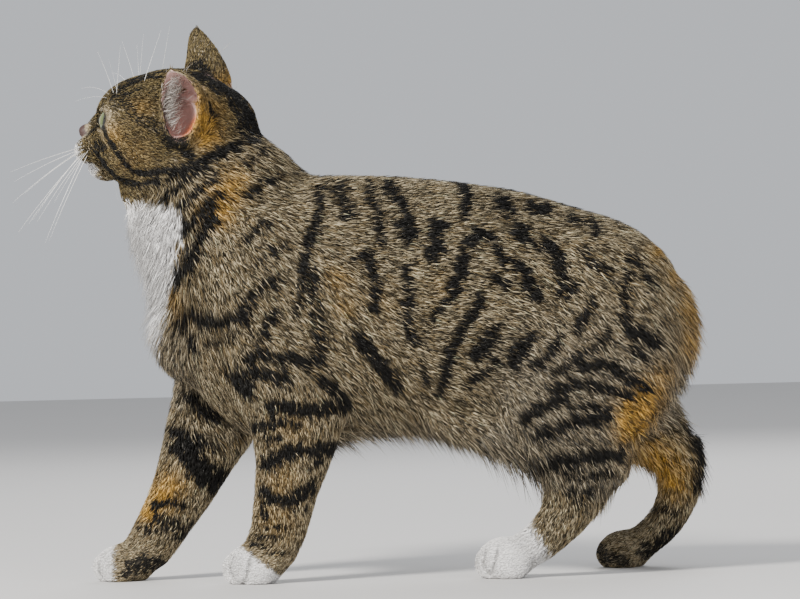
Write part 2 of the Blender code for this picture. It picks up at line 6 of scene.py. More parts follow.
import bmesh
import bpy
import numpy as np
from mathutils import Matrix, Vector
from mathutils.bvhtree import BVHTree


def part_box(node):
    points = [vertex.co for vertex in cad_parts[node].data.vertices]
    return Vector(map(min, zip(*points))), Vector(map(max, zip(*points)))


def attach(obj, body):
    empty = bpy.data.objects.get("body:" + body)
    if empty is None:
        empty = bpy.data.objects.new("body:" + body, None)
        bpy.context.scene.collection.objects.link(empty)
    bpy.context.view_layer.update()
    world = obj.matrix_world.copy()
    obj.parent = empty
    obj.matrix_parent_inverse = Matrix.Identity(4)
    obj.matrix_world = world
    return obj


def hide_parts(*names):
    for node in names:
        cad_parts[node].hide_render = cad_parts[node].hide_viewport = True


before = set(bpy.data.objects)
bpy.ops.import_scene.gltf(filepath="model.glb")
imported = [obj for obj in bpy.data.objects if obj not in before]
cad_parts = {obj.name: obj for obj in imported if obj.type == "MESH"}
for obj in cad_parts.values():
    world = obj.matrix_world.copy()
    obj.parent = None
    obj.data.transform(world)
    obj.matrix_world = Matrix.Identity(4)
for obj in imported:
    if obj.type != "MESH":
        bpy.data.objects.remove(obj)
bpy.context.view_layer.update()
rng = np.random.default_rng(11)
mm = 0.001

headLook = {
    "centre": (-156.0, 3.0, 300.0),
    "turn": 20,
    "raise": 12,
    "tip": 15,
    "nose": (58, 0, -13),
    "earFoot": (-30, 29, 20),
    "leftEarTip": (-25, 43, 54),
    "rightEarTip": (-9, -30, 64),
}
ears = (("left_ear", 1, headLook["leftEarTip"]), ("right_ear", -1, headLook["rightEarTip"]))
eyeLook = {
    "place": (23.0, 19.2, 4.5),
    "radius": 10.5,
    "outward": 15,
    "slant": 14,
    "iris": 7.6,
    "bulge": 0.9,
    "pupil": (1.9, 5.6),
    "inner": (0.24, 0.20, 0.045),
    "outer": (0.10, 0.13, 0.035),
    "fleck": (0.05, 0.055, 0.015),
    "rim": (0.012, 0.010, 0.008),
    "black": (0.004, 0.004, 0.004),
}
padLook = {"place": (45, 10.2, -21), "radii": (10.5, 9.9, 9.6)}

skinLook = {"voxel": 0.00125, "swell": 0.4, "triangles": 150000, "grain": 0.0012, "roughness": 0.62}
coatLook = {
    "tufts": 246000,
    "layers": 8,
    "patch": 0.003,
    "sunk": 0.0006,
    "aboveFloor": 0.0002,
    "lock": 11.0,
    "middle": 0.45,
    "middleLift": 0.75,
    "tipLift": 1.15,
    "ridge": 0.8,
}
earLook = {
    "hairs": 800,
    "length": 10.0,
    "width": 0.13,
    "front": (-15, 33, 27),
    "pocket": (-36, 30, 14),
    "cup": (-27, 31, 22),
    "cupRadii": (10.5, 12, 13),
    "axis": (-27, 33, 28),
    "fold": (-32.6, 28, 38),
    "foldLine": (-0.334, 0.889, 0.312),
}
grooves = {"mouth": 0.9, "underNose": 1.2, "nostril": 2.2, "toes": 1.9}


def headFrame():
    turn, lift, tip = (radians(headLook[k]) for k in ("turn", "raise", "tip"))
    forward = Vector((-cos(turn) * cos(lift), sin(turn) * cos(lift), sin(lift)))
    levelLeft = Vector((-sin(turn), -cos(turn), 0))
    levelUp = forward.cross(levelLeft)
    left = levelLeft * cos(tip) - levelUp * sin(tip)
    up = levelUp * cos(tip) + levelLeft * sin(tip)
    return Matrix.Translation(Vector(headLook["centre"])) @ Matrix((forward, left, up)).transposed().to_4x4()


head = headFrame()
headArray = np.array(head)
low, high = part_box("left_eye")
shift = (Vector(low) + Vector(high)) / 2 - head @ Vector(eyeLook["place"]) * mm
shiftArray = np.array(shift)


def toRow(points):
    return np.asarray(points, float) * mm + shiftArray


def toDesign(points):
    return (np.asarray(points, float) - shiftArray) * 1000


def toHead(points):
    return (np.asarray(points, float) - headArray[:3, 3]) @ headArray[:3, :3]


def fromHead(points):
    return np.asarray(points, float) @ headArray[:3, :3].T + headArray[:3, 3]


def both(name):
    return f"left_{name}", f"right_{name}"


def onSide(place, side):
    # A place of the head's frame on its left, 1, or its right, -1.
    return np.array(place, float) * (1, side, 1)


def ease(value, start, end):
    t = np.clip((value - start) / (end - start), 0, 1)
    return t * t * (3 - 2 * t)


def lengths(vectors):
    return np.linalg.norm(vectors, axis=1)


def unit(vectors):
    return vectors / np.maximum(np.linalg.norm(vectors, axis=-1, keepdims=True), 1e-9)


waves = unit(rng.normal(size=(7, 3)))
waveTurns = rng.uniform(0, 2 * pi, 7)


def ripple(points, size):
    # A smooth irregular value around 0 that changes over about size millimetres.
    total = np.zeros(len(points))
    for k in range(7):
        reach = (0.7 + 0.12 * k) * 2 * pi / size
        bend = 1.7 * np.sin(points @ waves[k - 3] * reach * 0.6)
        total += np.sin(points @ waves[k] * reach + waveTurns[k] + bend)
    return total / 4.2


def newObject(name, mesh):
    obj = bpy.data.objects.new(name, mesh)
    bpy.context.scene.collection.objects.link(obj)
    return obj


def meshFrom(name, points, loops, sizes):
    # A mesh from flat arrays: points, the corners of all faces, and how many corners each face has.
    mesh = bpy.data.meshes.new(name)
    mesh.vertices.add(len(points))
    mesh.vertices.foreach_set("co", np.ascontiguousarray(points, np.float32).ravel())
    mesh.loops.add(len(loops))
    mesh.loops.foreach_set("vertex_index", np.ascontiguousarray(loops, np.int32))
    mesh.polygons.add(len(sizes))
    starts = np.concatenate([[0], np.cumsum(sizes)[:-1]])
    mesh.polygons.foreach_set("loop_start", starts.astype(np.int32))
    mesh.polygons.foreach_set("loop_total", np.asarray(sizes, np.int32))
    mesh.update(calc_edges=True)
    mesh.shade_smooth()
    return mesh


def meshOut(name, bm):
    mesh = bpy.data.meshes.new(name)
    bm.to_mesh(mesh)
    bm.free()
    return mesh


def arraysOf(mesh):
    points = np.empty(len(mesh.vertices) * 3, np.float32)
    mesh.vertices.foreach_get("co", points)
    mesh.calc_loop_triangles()
    corners = np.empty(len(mesh.loop_triangles) * 3, np.int32)
    mesh.loop_triangles.foreach_get("vertices", corners)
    return points.reshape(-1, 3).astype(float), corners.reshape(-1, 3)


def bake(obj):
    graph = bpy.context.evaluated_depsgraph_get()
    mesh = bpy.data.meshes.new_from_object(obj.evaluated_get(graph))
    obj.modifiers.clear()
    obj.data = mesh
    return obj


def paint(mesh, colours):
    layer = mesh.color_attributes.new("tint", "FLOAT_COLOR", "POINT")
    rgba = np.ones((len(colours), 4), np.float32)
    rgba[:, :3] = colours
    layer.data.foreach_set("color", rgba.ravel())


# Dark strokes of the left side as seen from the side: half width, strength, then x and z of their points.
bodyStrokes = (
    (3.5, 1.0, -116, 254, -126, 245, -134, 237, -143, 229),
    (4.5, 1.0, -120, 243, -124, 233, -130, 222, -136, 213, -143, 204, -149, 195),
    (2.6, 0.9, -118, 266, -130, 257, -142, 246),
    (3.2, 0.9, -124, 273, -140, 262, -153, 252),
    (4.2, 1.0, -104, 286, -118, 280, -130, 275, -142, 270, -156, 264),
    (2.0, 0.9, -83, 285, -92, 278, -101, 271),
    (4.0, 0.9, -78, 264, -88, 261, -96, 254),
    (3.0, 0.8, -84, 235, -92, 231, -99, 223),
    (3.0, 0.7, -72, 220, -82, 216, -90, 210),
    (3.6, 1.0, -51, 256, -51, 244, -54, 232, -58, 222, -61, 211, -63, 200),
    (3.0, 0.7, -62, 205, -64, 190, -67, 176),
    (3.6, 0.9, -80, 198, -92, 190, -99, 183, -104, 176),
    (4.6, 1.0, -144, 171, -136, 176, -126, 171, -112, 172, -99, 175),
    (3.6, 0.9, -80, 177, -86, 168, -90, 160),
    (3.2, 0.8, -137, 160, -136, 153),
    (2.4, 0.7, -126, 156, -116, 159, -106, 163, -98, 165),
    (4.0, 1.0, -100, 147, -85, 149, -68, 146, -52, 144),
    (5.6, 1.0, -109, 137, -105, 131, -101, 126),
    (4.6, 1.0, -98, 138, -86, 136, -76, 133),
    (4.8, 0.85, -38, 257, -35, 247, -32, 238),
    (3.2, 0.9, -19, 259, -17, 249, -13, 241, -12, 230, -13, 221),
    (4.0, 1.0, -6, 257, -1, 249, 5, 243, 7, 234, 9, 226),
    (6.0, 1.0, 4, 232, 6, 226),
    (6.2, 1.0, 26, 229, 24, 220, 22, 212),
    (4.2, 1.0, 43, 257, 45, 247, 43, 239),
    (4.6, 1.0, 46, 220, 52, 224, 58, 222),
    (4.4, 1.0, 42, 212, 40, 202, 38, 194, 35, 187),
    (3.0, 0.8, 34, 186, 28, 178, 21, 171),
    (3.8, 0.9, 4, 201, 6, 190, 5, 180, 4, 170, 6, 162, 9, 155),
    (3.8, 0.95, -20, 211, -18, 200, -16, 192, -16, 184, -18, 178),
    (2.4, 0.8, -24, 214, -29, 208),
    (4.4, 1.0, -27, 160, -22, 152, -17, 144, -10, 136, -3, 126),
    # Painted shadow under the fold of the elbow, laid as a dark stroke.
    (5.5, 0.75, -58, 200, -56, 185, -53, 170, -52, 155, -54, 144),
    (3.4, 0.9, -52, 132, -44, 124, -36, 116),
    (3.6, 1.0, 52, 183, 48, 174, 42, 166, 37, 158, 32, 150, 30, 140, 27, 130, 24, 122),
    (4.8, 1.0, 60, 162, 55, 152, 48, 145),
    (3.0, 0.8, 62, 141, 50, 132, 42, 126),
    (2.8, 0.7, 14, 140, 16, 129),
    (5.6, 1.0, 67, 246, 72, 241),
    (4.6, 0.95, 87, 241, 97, 240),
    (5.2, 1.0, 78, 227, 83, 222),
    (4.0, 0.8, 113, 235, 118, 231),
    (4.0, 0.9, 126, 231, 130, 224),
    (4.8, 1.0, 94, 216, 101, 213, 103, 206),
    (4.4, 0.95, 105, 201, 108, 191),
    (4.4, 0.9, 63, 212, 68, 206, 76, 202),
    (4.2, 0.9, 62, 196, 69, 191),
    (5.0, 1.0, 82, 199, 84, 191, 87, 183),
    (3.4, 0.8, 104, 185, 110, 182, 114, 188),
    (3.2, 0.8, 121, 212, 124, 204, 129, 201),
    (3.2, 0.8, 133, 201, 136, 193),
    (4.0, 0.9, 147, 195, 146, 186, 144, 177),
    (3.6, 0.9, 124, 179, 121, 170, 114, 163),
    (3.6, 0.8, 150, 206, 157, 203),
    (3.6, 0.9, 160, 194, 165, 186),
    (4.6, 0.95, 145, 168, 150, 160, 156, 155, 164, 152),
    (5.0, 1.0, 82, 155, 77, 148, 73, 142),
    (3.2, 0.95, 102, 156, 98, 148, 92, 142, 86, 138),
    (3.2, 0.9, 134, 157, 126, 149, 118, 144, 108, 138, 99, 133),
    (3.8, 0.95, 118, 136, 126, 138, 134, 136, 142, 132, 150, 126, 158, 121),
    (3.2, 0.8, 149, 147, 157, 142),
    (3.2, 0.9, 98, 123, 110, 126, 122, 125, 134, 122, 146, 117),
    (4.0, 1.0, 79, 103, 86, 109, 94, 113, 104, 119),
    (2.8, 0.7, 108, 110, 120, 112, 134, 108),
    (4.2, 1.0, 85, 91, 94, 95, 106, 99, 118, 102, 131, 104),
    (4.6, 1.0, 85, 70, 94, 74, 104, 76, 116, 78, 128, 78, 141, 79),
    (3.0, 0.8, 104, 67, 118, 66, 133, 66),
    (4.0, 0.6, 105, 56, 114, 50, 121, 56),
    (4.4, 1.0, -84, 116, -72, 114, -60, 112, -50, 113, -38, 114),
    (2.6, 0.8, -78, 107, -68, 104),
    (3.6, 0.9, -96, 102, -88, 103, -81, 105),
    (2.6, 0.8, -88, 94, -82, 95),
    (4.6, 1.0, -90, 77, -82, 82, -74, 86, -66, 87, -56, 86, -46, 87),
    (2.2, 0.8, -61, 75, -53, 80),
    (4.0, 1.0, -91, 61, -86, 56, -78, 54, -70, 56, -61, 61),
    (2.2, 0.8, -92, 52, -91, 43),
    (1.8, 0.7, -71, 48, -63, 50),
    (1.8, 0.6, -92, 37, -79, 37),
    (1.8, 0.6, -95, 31, -81, 30),
    (1.8, 0.7, -100, 26, -93, 25),
    (1.8, 0.5, -90, 21, -79, 20),
)
# The same for the right foreleg and the right hind leg.
rightForeStrokes = (
    # At the top of the right foreleg: a stripe with painted shadow over it.
    (7.0, 0.9, -145, 126, -136, 117, -128, 109),
    (4.6, 1.0, -153, 98, -146, 93),
    (8.0, 1.0, -147, 92, -142, 82, -136, 73, -126, 66, -116, 62),
    (2.6, 1.0, -166, 51, -156, 52, -148, 50),
    (5.6, 0.7, -166, 40, -154, 36, -146, 31),
    (2.4, 0.7, -176, 35, -170, 33),
    (5.5, 0.9, -184, 8, -174, 13, -164, 9),
)
rightHindStrokes = (
    (6.0, 0.9, 178, 116, 186, 108, 192, 100),
    (7.0, 0.95, 202, 86, 200, 76, 204, 66, 201, 56),
    (3.4, 0.8, 176, 96, 184, 92, 192, 90),
    (2.6, 0.7, 170, 38, 180, 36),
    (4.0, 0.8, 128, 12, 134, 6, 144, 5),
    (5.0, 0.8, 160, 10, 170, 14, 178, 22),
)
# On the head, seen from the left side.
faceStrokes = (
    (1.6, 1.0, -196, 306, -192, 300, -189, 293, -185, 287, -181, 281, -178, 276, -172, 271),
    (2.0, 1.0, -172, 271, -164, 269, -154, 270, -144, 272),
    (3.2, 0.8, -197, 290, -194, 287),
    (1.35, 1.0, -201, 288, -195, 281, -190, 274, -184, 268, -177, 264),
    (2.1, 0.95, -177, 264, -168, 262, -156, 265),
    (1.2, 0.8, -206, 297, -200, 300, -195, 303),
    (1.9, 0.9, -175, 330, -167, 333, -159, 334),
    (2.4, 0.7, -186, 320, -180, 326),
    (3.0, 0.5, -184, 314, -177, 318, -172, 310),
    (4.6, 0.9, -148, 290, -140, 288, -136, 281),
    (3.4, 0.5, -172, 306, -160, 302, -150, 296),
)
# On the crown, seen from above in the head's frame: ahead and to the left.
crownStrokes = (
    (1.6, 0.9, 32, 4, 20, 5, 6, 4),
    (1.8, 0.9, 30, 12, 18, 13, 4, 11, -12, 12),
    (1.8, 0.9, 4, 4, -12, 4, -30, 5, -44, 7),
    (2.4, 0.95, -12, 12, -26, 14, -40, 18, -50, 22),
    (1.5, 0.8, 26, 20, 16, 21, 6, 20),
)
# On the back of the neck: half width, strength, then x and z as seen from the side.
napeStrokes = (
    (4.2, 1.0, -130, 333, -118, 330, -106, 321, -97, 309, -89, 296),
    (2.6, 0.9, -107, 314, -101, 304, -96, 296, -91, 289),
    (3.4, 0.8, -102, 300, -97, 290),
)
# Warm rufous patches: x, z, radius, strength.
warmPatches = (
    (-124, 304, 13, 1.0),
    (-122, 290, 9, 0.7),
    (-132, 318, 8, 0.6),
    (-111, 250, 10, 0.75),
    (-114, 238, 8, 0.7),
    (-103, 262, 10, 0.6),
    (-128, 240, 7, 0.4),
    (-150, 186, 7, 0.6),
    (-144, 172, 7, 0.4),
    (-38, 196, 8, 0.45),
    (-34, 178, 7, 0.4),
    (-10, 180, 9, 0.2),
    (30, 190, 10, 0.15),
    (152, 104, 12, 1.3),
    (148, 92, 10, 0.9),
    (162, 116, 11, 0.8),
    (172, 128, 10, 0.45),
    (188, 145, 9, 0.5),
    (189, 168, 9, 0.45),
    (182, 192, 7, 0.6),
    (172, 210, 6, 0.8),
    (-164, 52, 10, 0.75),
    (-156, 62, 11, 0.7),
    (-172, 44, 8, 0.8),
    (180, 56, 14, 0.8),
    (170, 74, 14, 0.7),
    (150, 70, 9, 0.3),
    (-72, 100, 14, 0.25),
    (-80, 66, 14, 0.3),
    (-84, 40, 14, 0.3),
    (-165, 312, 8, 0.5),
    (-184, 296, 7, 0.5),
    (-170, 282, 14, 0.3),
)
# Where the white of the chest ends towards the shoulder: z, x.
bibEdge = ((120, -172), (150, -162), (160, -158), (170, -155), (185, -153), (200, -149), (215, -145),
           (228, -142), (240, -141), (246, -146), (250, -165), (258, -184), (275, -200))

colours = {
    "cream": (0.80, 0.66, 0.42),
    "buff": (0.38, 0.28, 0.14),
    "mid": (0.09, 0.072, 0.04),
    "black": (0.007, 0.0062, 0.005),
    "grey": (0.50, 0.47, 0.41),
    "rufous": (0.92, 0.50, 0.065),
    "white": (0.90, 0.885, 0.87),
    "bare": (0.56, 0.36, 0.33),
    "pocket": (0.62, 0.19, 0.08),
    "leather": (0.045, 0.021, 0.017),
}
colours = {k: np.array(v) for k, v in colours.items()}
faceNodes = ("head", "jaw", *both("whisker_pad"), *both("ear"))
torsoNodes = ("neck", "chest", "loin", "rump")


def strokeDark(flat, strokes, rough):
    # How dark each point is under the strokes; rough moves the strokes' edges in and out.
    dark = np.zeros(len(flat))
    for width, strength, *way in strokes:
        way = np.array(way, float).reshape(-1, 2)
        reach = 2.2 * width + 2
        near = np.all((flat > way.min(0) - reach) & (flat < way.max(0) + reach), axis=1)
        index = np.nonzero(near)[0]
        if not len(index):
            continue
        p = flat[index]
        best = np.full(len(index), 1e9)
        for a, b in zip(way[:-1], way[1:]):
            run = b - a
            t = np.clip(((p - a) @ run) / max(run @ run, 1e-9), 0, 1)
            best = np.minimum(best, lengths(p - a - t[:, None] * run))
        value = strength * (1 - ease(best + rough[index] * 0.55 * width, 0.72 * width, 1.38 * width))
        dark[index] = np.maximum(dark[index], value)
    return dark


def markingsAndShadows(points, nodes):
    # Dark, warm, white and pale shares of each design-frame point, from the node that it belongs to; the dark
    # share also holds a few strokes of painted shadow.
    local = toHead(points)
    facing = np.isin(nodes, (*faceNodes, "nose"))
    mirrored = local.copy()
    mirrored[:, 1] = np.abs(mirrored[:, 1])
    level = fromHead(mirrored)
    flat = np.where(facing[:, None], level, points)[:, [0, 2]]
    rough = ripple(points, 9.0)
    rightSide = points[:, 1] > 0
    wander = np.stack([ripple(points, 60.0), ripple(points[:, ::-1], 55.0)], 1) * 7
    torso = np.isin(nodes, torsoNodes)
    flat = flat + np.where((torso & rightSide)[:, None], wander, 0)
    elbow = (nodes == "chest") & rightSide & (points[:, 2] < 126)
    rightFore = np.isin(nodes, ("right_foreleg", "right_forepaw")) | elbow
    rightHind = np.isin(nodes, ("right_thigh", "right_hind_foot", "right_hind_paw"))
    crown = ease(local[:, 2], 16, 24) * (lengths(local) < 62)
    nape = (nodes == "neck") | (nodes == "head")

    # Each set of strokes: where it is laid, how rough its edges are, which points it marks.
    layers = (
        (bodyStrokes, flat, 1.0, ~facing & ~rightFore & ~rightHind),
        (rightForeStrokes, flat, 1.0, rightFore),
        (rightHindStrokes, flat, 1.0, rightHind),
        (faceStrokes, flat, 0.6, facing),
        (crownStrokes, mirrored[:, :2], 0.6, crown),
        (napeStrokes, points[:, [0, 2]], 0.7, nape),
    )
    dark = np.zeros(len(points))
    for strokes, laid, edge, marked in layers:
        dark = np.maximum(dark, strokeDark(laid, strokes, rough * edge) * marked)

    # A broken dark line along the spine.
    spine = torso & (points[:, 2] > 200) & (points[:, 0] > -100)
    dorsal = 1 - ease(np.abs(points[:, 1] + 2 * ripple(points, 30)), 4, 10)
    dark = np.maximum(dark, spine * dorsal * (0.55 + 0.5 * ripple(points, 34)))

    warm = np.zeros(len(points))
    for x, z, radius, strength in warmPatches:
        away = np.hypot(flat[:, 0] - x, flat[:, 1] - z) / radius
        warm += strength * np.exp(-away * away)
    rear = (nodes == "rump") & (np.abs(points[:, 1]) < 40)
    warm += 0.4 * rear * ease(points[:, 0], 182, 197)
    warm = np.clip(warm * (1 + 0.35 * rough), 0, 1)

    edge = np.array(bibEdge, float)
    bib = np.interp(points[:, 2], edge[:, 0], edge[:, 1]) + 2.5 * rough
    chestFront = np.isin(nodes, ("neck", "chest", "head", "jaw")) & (points[:, 2] > 112)
    white = chestFront * (1 - ease(points[:, 0] - bib, -3, 3)) * (1 - ease(points[:, 2], 244, 256))
    white *= 0.35 + 0.65 * ease(points[:, 2], 140, 172)
    x, z = points[:, 0], points[:, 2]
    pawLine = 25 - 0.76 * (x + 109) + 1.2 * rough
    white = np.maximum(white, (nodes == "left_forepaw") * (1 - ease(z - pawLine, -1.5, 2.5)))
    white = np.maximum(white, (nodes == "right_forepaw") * (1 - ease(x + 1.2 * rough, -197, -192)))
    hind = np.isin(nodes, ("left_hind_paw", "left_hind_foot"))
    white = np.maximum(white, hind * (1 - ease(x + 0.55 * z + 1.5 * rough, 96, 106)))
    a, b, c = local[:, 0], np.abs(local[:, 1]), local[:, 2]
    muzzle = ease(a + 0.5 * rough, 46, 52) * (1 - ease(c, -19, -13)) * facing
    lip = ease(a + 0.4 * rough, 35, 42) * (1 - ease(c, -30, -26)) * facing
    white = np.maximum(white, np.maximum(muzzle, lip))
    around = np.hypot((a - 33) / 1.6, (c - 12) / 3.2) + np.abs(b - 13) / 5
    white = np.maximum(white, 0.6 * (1 - ease(around, 1.0, 2.4)) * facing)

    belly = torso & (z < 112)
    pale = belly * (1 - ease(z, 84, 110)) * 0.5
    pale = pale + chestFront * (1 - ease(x, -150, -118)) * (1 - ease(z, 150, 176)) * 0.6
    haunch = np.isin(nodes, ("rump", "left_thigh", "loin")) * ease(x, 40, 80) * (1 - ease(z, 120, 190))
    return dark, warm, white, np.clip(pale + 0.8 * haunch, 0, 1)


def goldenShare(design, nodes):
    # The face wears a darker and more golden coat than the body, down to the chin.
    local = toHead(design)
    face = np.isin(nodes, faceNodes)
    chin = ease(local[:, 0], 20, 32) * (1 - ease(local[:, 2], -30, -24))
    return face * (1 - 0.8 * chin)


def hues(warm, pale, chance, tone, golden):
    # One colour for each point: chance picks the hair's own band, tone varies its lightness.
    chance, tone = chance[:, None], tone[:, None]
    light = np.where(chance < 0.5, colours["cream"], np.where(chance < 0.78, colours["buff"], colours["mid"]))
    light = light + (colours["grey"] - light) * 0.35 * pale[:, None]
    warmth = np.clip(warm, 0, 1)[:, None]
    light = light + (colours["rufous"] * np.where(chance < 0.6, 1.0, 0.5) - light) * warmth * 0.85
    return light * tone * (1 - (golden * (1 - 0.6 * warm.clip(0, 1)))[:, None] * (0.6, 0.63, 0.75))


def tuftColours(tipShares, middleShares, golden):
    # Colours at the root, middle and tip of each tuft, banded as a ticked coat is, with painted shade at the
    # root deep in the coat.
    count = len(golden)
    chance, pick = rng.random(count), rng.random(count)
    tone = rng.normal(1.0, 0.24, count).clip(0.45, 1.6)
    dark, warm, white, pale = tipShares
    light = hues(warm, pale, chance, tone, golden)
    black = colours["black"] * tone[:, None]
    often = (0.28 - 0.16 * warm + 0.22 * pale) * np.where(golden > 0.1, 0.35 + 0.65 * golden, 1)
    ticked = (rng.random(count) < often)[:, None]
    inStroke = (pick < dark * 0.97)[:, None]
    deep = (pick < middleShares[0] * 0.97)[:, None]
    tip = np.where(inStroke | ticked, black, light)
    under = np.where(ticked, 0.25, 0.36 + 0.3 * warm[:, None])
    middle = np.where(deep, black, light * under)
    # Painted shade: the root, deep in the coat, is darker than the band above it.
    root = middle * 0.4
    whitePick = rng.random(count)
    snow = colours["white"] * (0.88 + 0.10 * tone[:, None])
    isWhite, underWhite = ((whitePick < s[2])[:, None] for s in (tipShares, middleShares))
    tip = np.where(isWhite, snow, tip)
    # Painted shade: white hairs are darker towards the root, deep in the coat.
    middle = np.where(underWhite, snow * 0.94, middle)
    root = np.where(underWhite, snow * 0.7, root)
    return root, middle, tip


def fleshMesh(name):
    # A copy of a node's mesh, or a plain pad in place of one that carries whiskers.
    if "whisker_pad" not in name:
        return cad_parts[name].data.copy()
    place = Vector(onSide(padLook["place"], 1 if name.startswith("left") else -1))
    bm = bmesh.new()
    bmesh.ops.create_uvsphere(bm, u_segments=32, v_segments=20, radius=1.0)
    turn = Matrix.Translation(shift) @ Matrix.Scale(mm, 4) @ head
    bm.transform(turn @ Matrix.Translation(place) @ Matrix.Diagonal((*padLook["radii"], 1.0)))
    return meshOut(name, bm)


def buildSkin(flesh):
    # Swells every node until the thin cuts close, then grows one closed surface over them all.
    bm = bmesh.new()
    for name in flesh:
        mesh = fleshMesh(name)
        bm.from_mesh(mesh)
        bpy.data.meshes.remove(mesh)
    bmesh.ops.remove_doubles(bm, verts=bm.verts, dist=0.00001)
    skin = newObject("skin", meshOut("skin", bm))
    swell = skin.modifiers.new("swell", "DISPLACE")
    swell.strength = skinLook["swell"] * mm
    swell.mid_level = 0.0
    grow = skin.modifiers.new("grow", "REMESH")
    grow.mode = "VOXEL"
    grow.voxel_size = skinLook["voxel"]
    smooth = skin.modifiers.new("smooth", "SMOOTH")
    smooth.factor = 0.5
    smooth.iterations = 3
    return bake(skin)


def largestOnly(obj):
    # Leaves the largest closed surface of the mesh.
    points, corners = arraysOf(obj.data)
    label = np.arange(len(points))
    while True:
        least = label[corners].min(axis=1)
        new = label.copy()
        for k in range(3):
            np.minimum.at(new, corners[:, k], least)
        new = new[new]
        if np.array_equal(new, label):
            break
        label = new
    names, counts = np.unique(label, return_counts=True)
    keep = label == names[np.argmax(counts)]
    corners = corners[keep[corners].all(axis=1)]
    index = np.cumsum(keep) - 1
    obj.data = meshFrom(obj.name, points[keep], index[corners].ravel(), np.full(len(corners), 3))
    return obj


flesh = [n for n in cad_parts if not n.endswith("_eye")]
skin = largestOnly(buildSkin(flesh))
print("skin grown:", len(skin.data.polygons), "triangles")


def reduceSkin(obj):
    # Fewer triangles on the body, which the coat covers, and all of them kept on the face.
    points, corners = arraysOf(obj.data)
    local = toHead(toDesign(points))
    group = obj.vertex_groups.new(name="body")
    weight = np.round(ease(lengths(local - (22, 0, 0)), 44, 60), 1)
    for level in np.unique(weight[weight > 0]):
        group.add(np.nonzero(weight == level)[0].tolist(), float(level), "REPLACE")
    modifier = obj.modifiers.new("reduce", "DECIMATE")
    modifier.ratio = skinLook["triangles"] / len(corners)
    modifier.vertex_group = "body"
    modifier.use_collapse_triangulate = True
    bake(obj)
    obj.vertex_groups.clear()


reduceSkin(skin)
print("skin reduced:", len(skin.data.polygons), "triangles")

nodeNames = list(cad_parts)
allPoints, allCorners, owner, start = [], [], [], 0
for k, name in enumerate(nodeNames):
    mesh = fleshMesh(name)
    p, c = arraysOf(mesh)
    bpy.data.meshes.remove(mesh)
    allPoints.append(p)
    allCorners.append(c + start)
    owner.append(np.full(len(c), k))
    start += len(p)
owner = np.concatenate(owner)
cadTree = BVHTree.FromPolygons(np.concatenate(allPoints).tolist(), np.concatenate(allCorners).tolist())


def nearestNodes(points):
    index = [cadTree.find_nearest(p)[2] for p in points.tolist()]
    return np.array(nodeNames)[owner[np.array(index)]]


def normalsOf(points, corners):
    a, b, c = (points[corners[:, k]] for k in range(3))
    face = np.cross(b - a, c - a)
    total = np.zeros_like(points)
    for k in range(3):
        for axis in range(3):
            total[:, axis] += np.bincount(corners[:, k], face[:, axis], len(points))
    return unit(total)


def spread(values, corners, rounds):
    # Evens a field over the surface: each vertex takes the mean of itself and its neighbours.
    values = np.asarray(values, float)
    flat = values.reshape(len(values), -1)
    first = corners[:, [0, 1, 2]].ravel()
    second = corners[:, [1, 2, 0]].ravel()
    count = np.bincount(first, minlength=len(flat)) + np.bincount(second, minlength=len(flat))
    for _ in range(rounds):
        total = np.empty_like(flat)
        for k in range(flat.shape[1]):
            ahead = np.bincount(first, flat[second, k], len(flat))
            total[:, k] = ahead + np.bincount(second, flat[first, k], len(flat))
        flat = 0.5 * flat + 0.5 * total / np.maximum(count, 1)[:, None]
    return flat.reshape(values.shape)


points, corners = arraysOf(skin.data)
nodes = nearestNodes(points)
design = toDesign(points)

# Each paw: x of its front, y of its middle, half width, side it faces, how far back its outer toe stands.
paws = {
    "left_forepaw": (-121.5, -34, 18.5, -1, 15),
    "right_forepaw": (-209.5, 30, 18, 1, 15),
    "left_hind_paw": (43.5, -39, 17.5, -1, 10),
    "right_hind_paw": (126.5, 50, 17.5, 1, 10),
}


def toeLines(design, nodes):
    # 1 in the creases between the toes, fading up the paw.
    total = np.zeros(len(design))
    x, y, z = design.T
    for name, (front, middle, half, outer, back) in paws.items():
        u, v = x - front, (middle - y) * outer / half
        crease = np.zeros(len(design))
        for place in (-0.46, -0.01, 0.43):
            crease = np.maximum(crease, np.exp(-(((v - place) * half / 1.1) ** 2)) * (1 - ease(u, 6, 14)))
        turn = np.exp(-(((u - back - 0.25 * z) / 1.2) ** 2)) * (v < -0.5)
        total += np.maximum(crease, turn) * (1 - ease(z, 17, 25)) * (nodes == name)
    return total


# For each set of nodes: length, depth, half width and density of the coat, in millimetres.
coats = (
    (("head", "jaw"), (5.5, 1.3, 0.30, 2.2)),
    (("nose",), (0, 0, 0, 0)),
    (both("whisker_pad"), (3.2, 0.7, 0.26, 3.0)),
    (both("ear"), (4.0, 0.4, 0.27, 2.6)),
    (("neck",), (12.0, 3.4, 0.42, 1.1)),
    (("chest",), (10.5, 3.1, 0.41, 1.0)),
    (("loin",), (9.5, 2.9, 0.41, 1.0)),
    (("rump",), (10.5, 3.2, 0.41, 1.0)),
    (both("foreleg"), (7.0, 1.7, 0.36, 1.4)),
    (both("thigh"), (9.0, 2.6, 0.40, 1.1)),
    (both("hind_foot"), (6.5, 1.5, 0.36, 1.4)),
    (both("forepaw"), (3.4, 0.55, 0.26, 2.4)),
    (both("hind_paw"), (3.4, 0.55, 0.26, 2.4)),
)


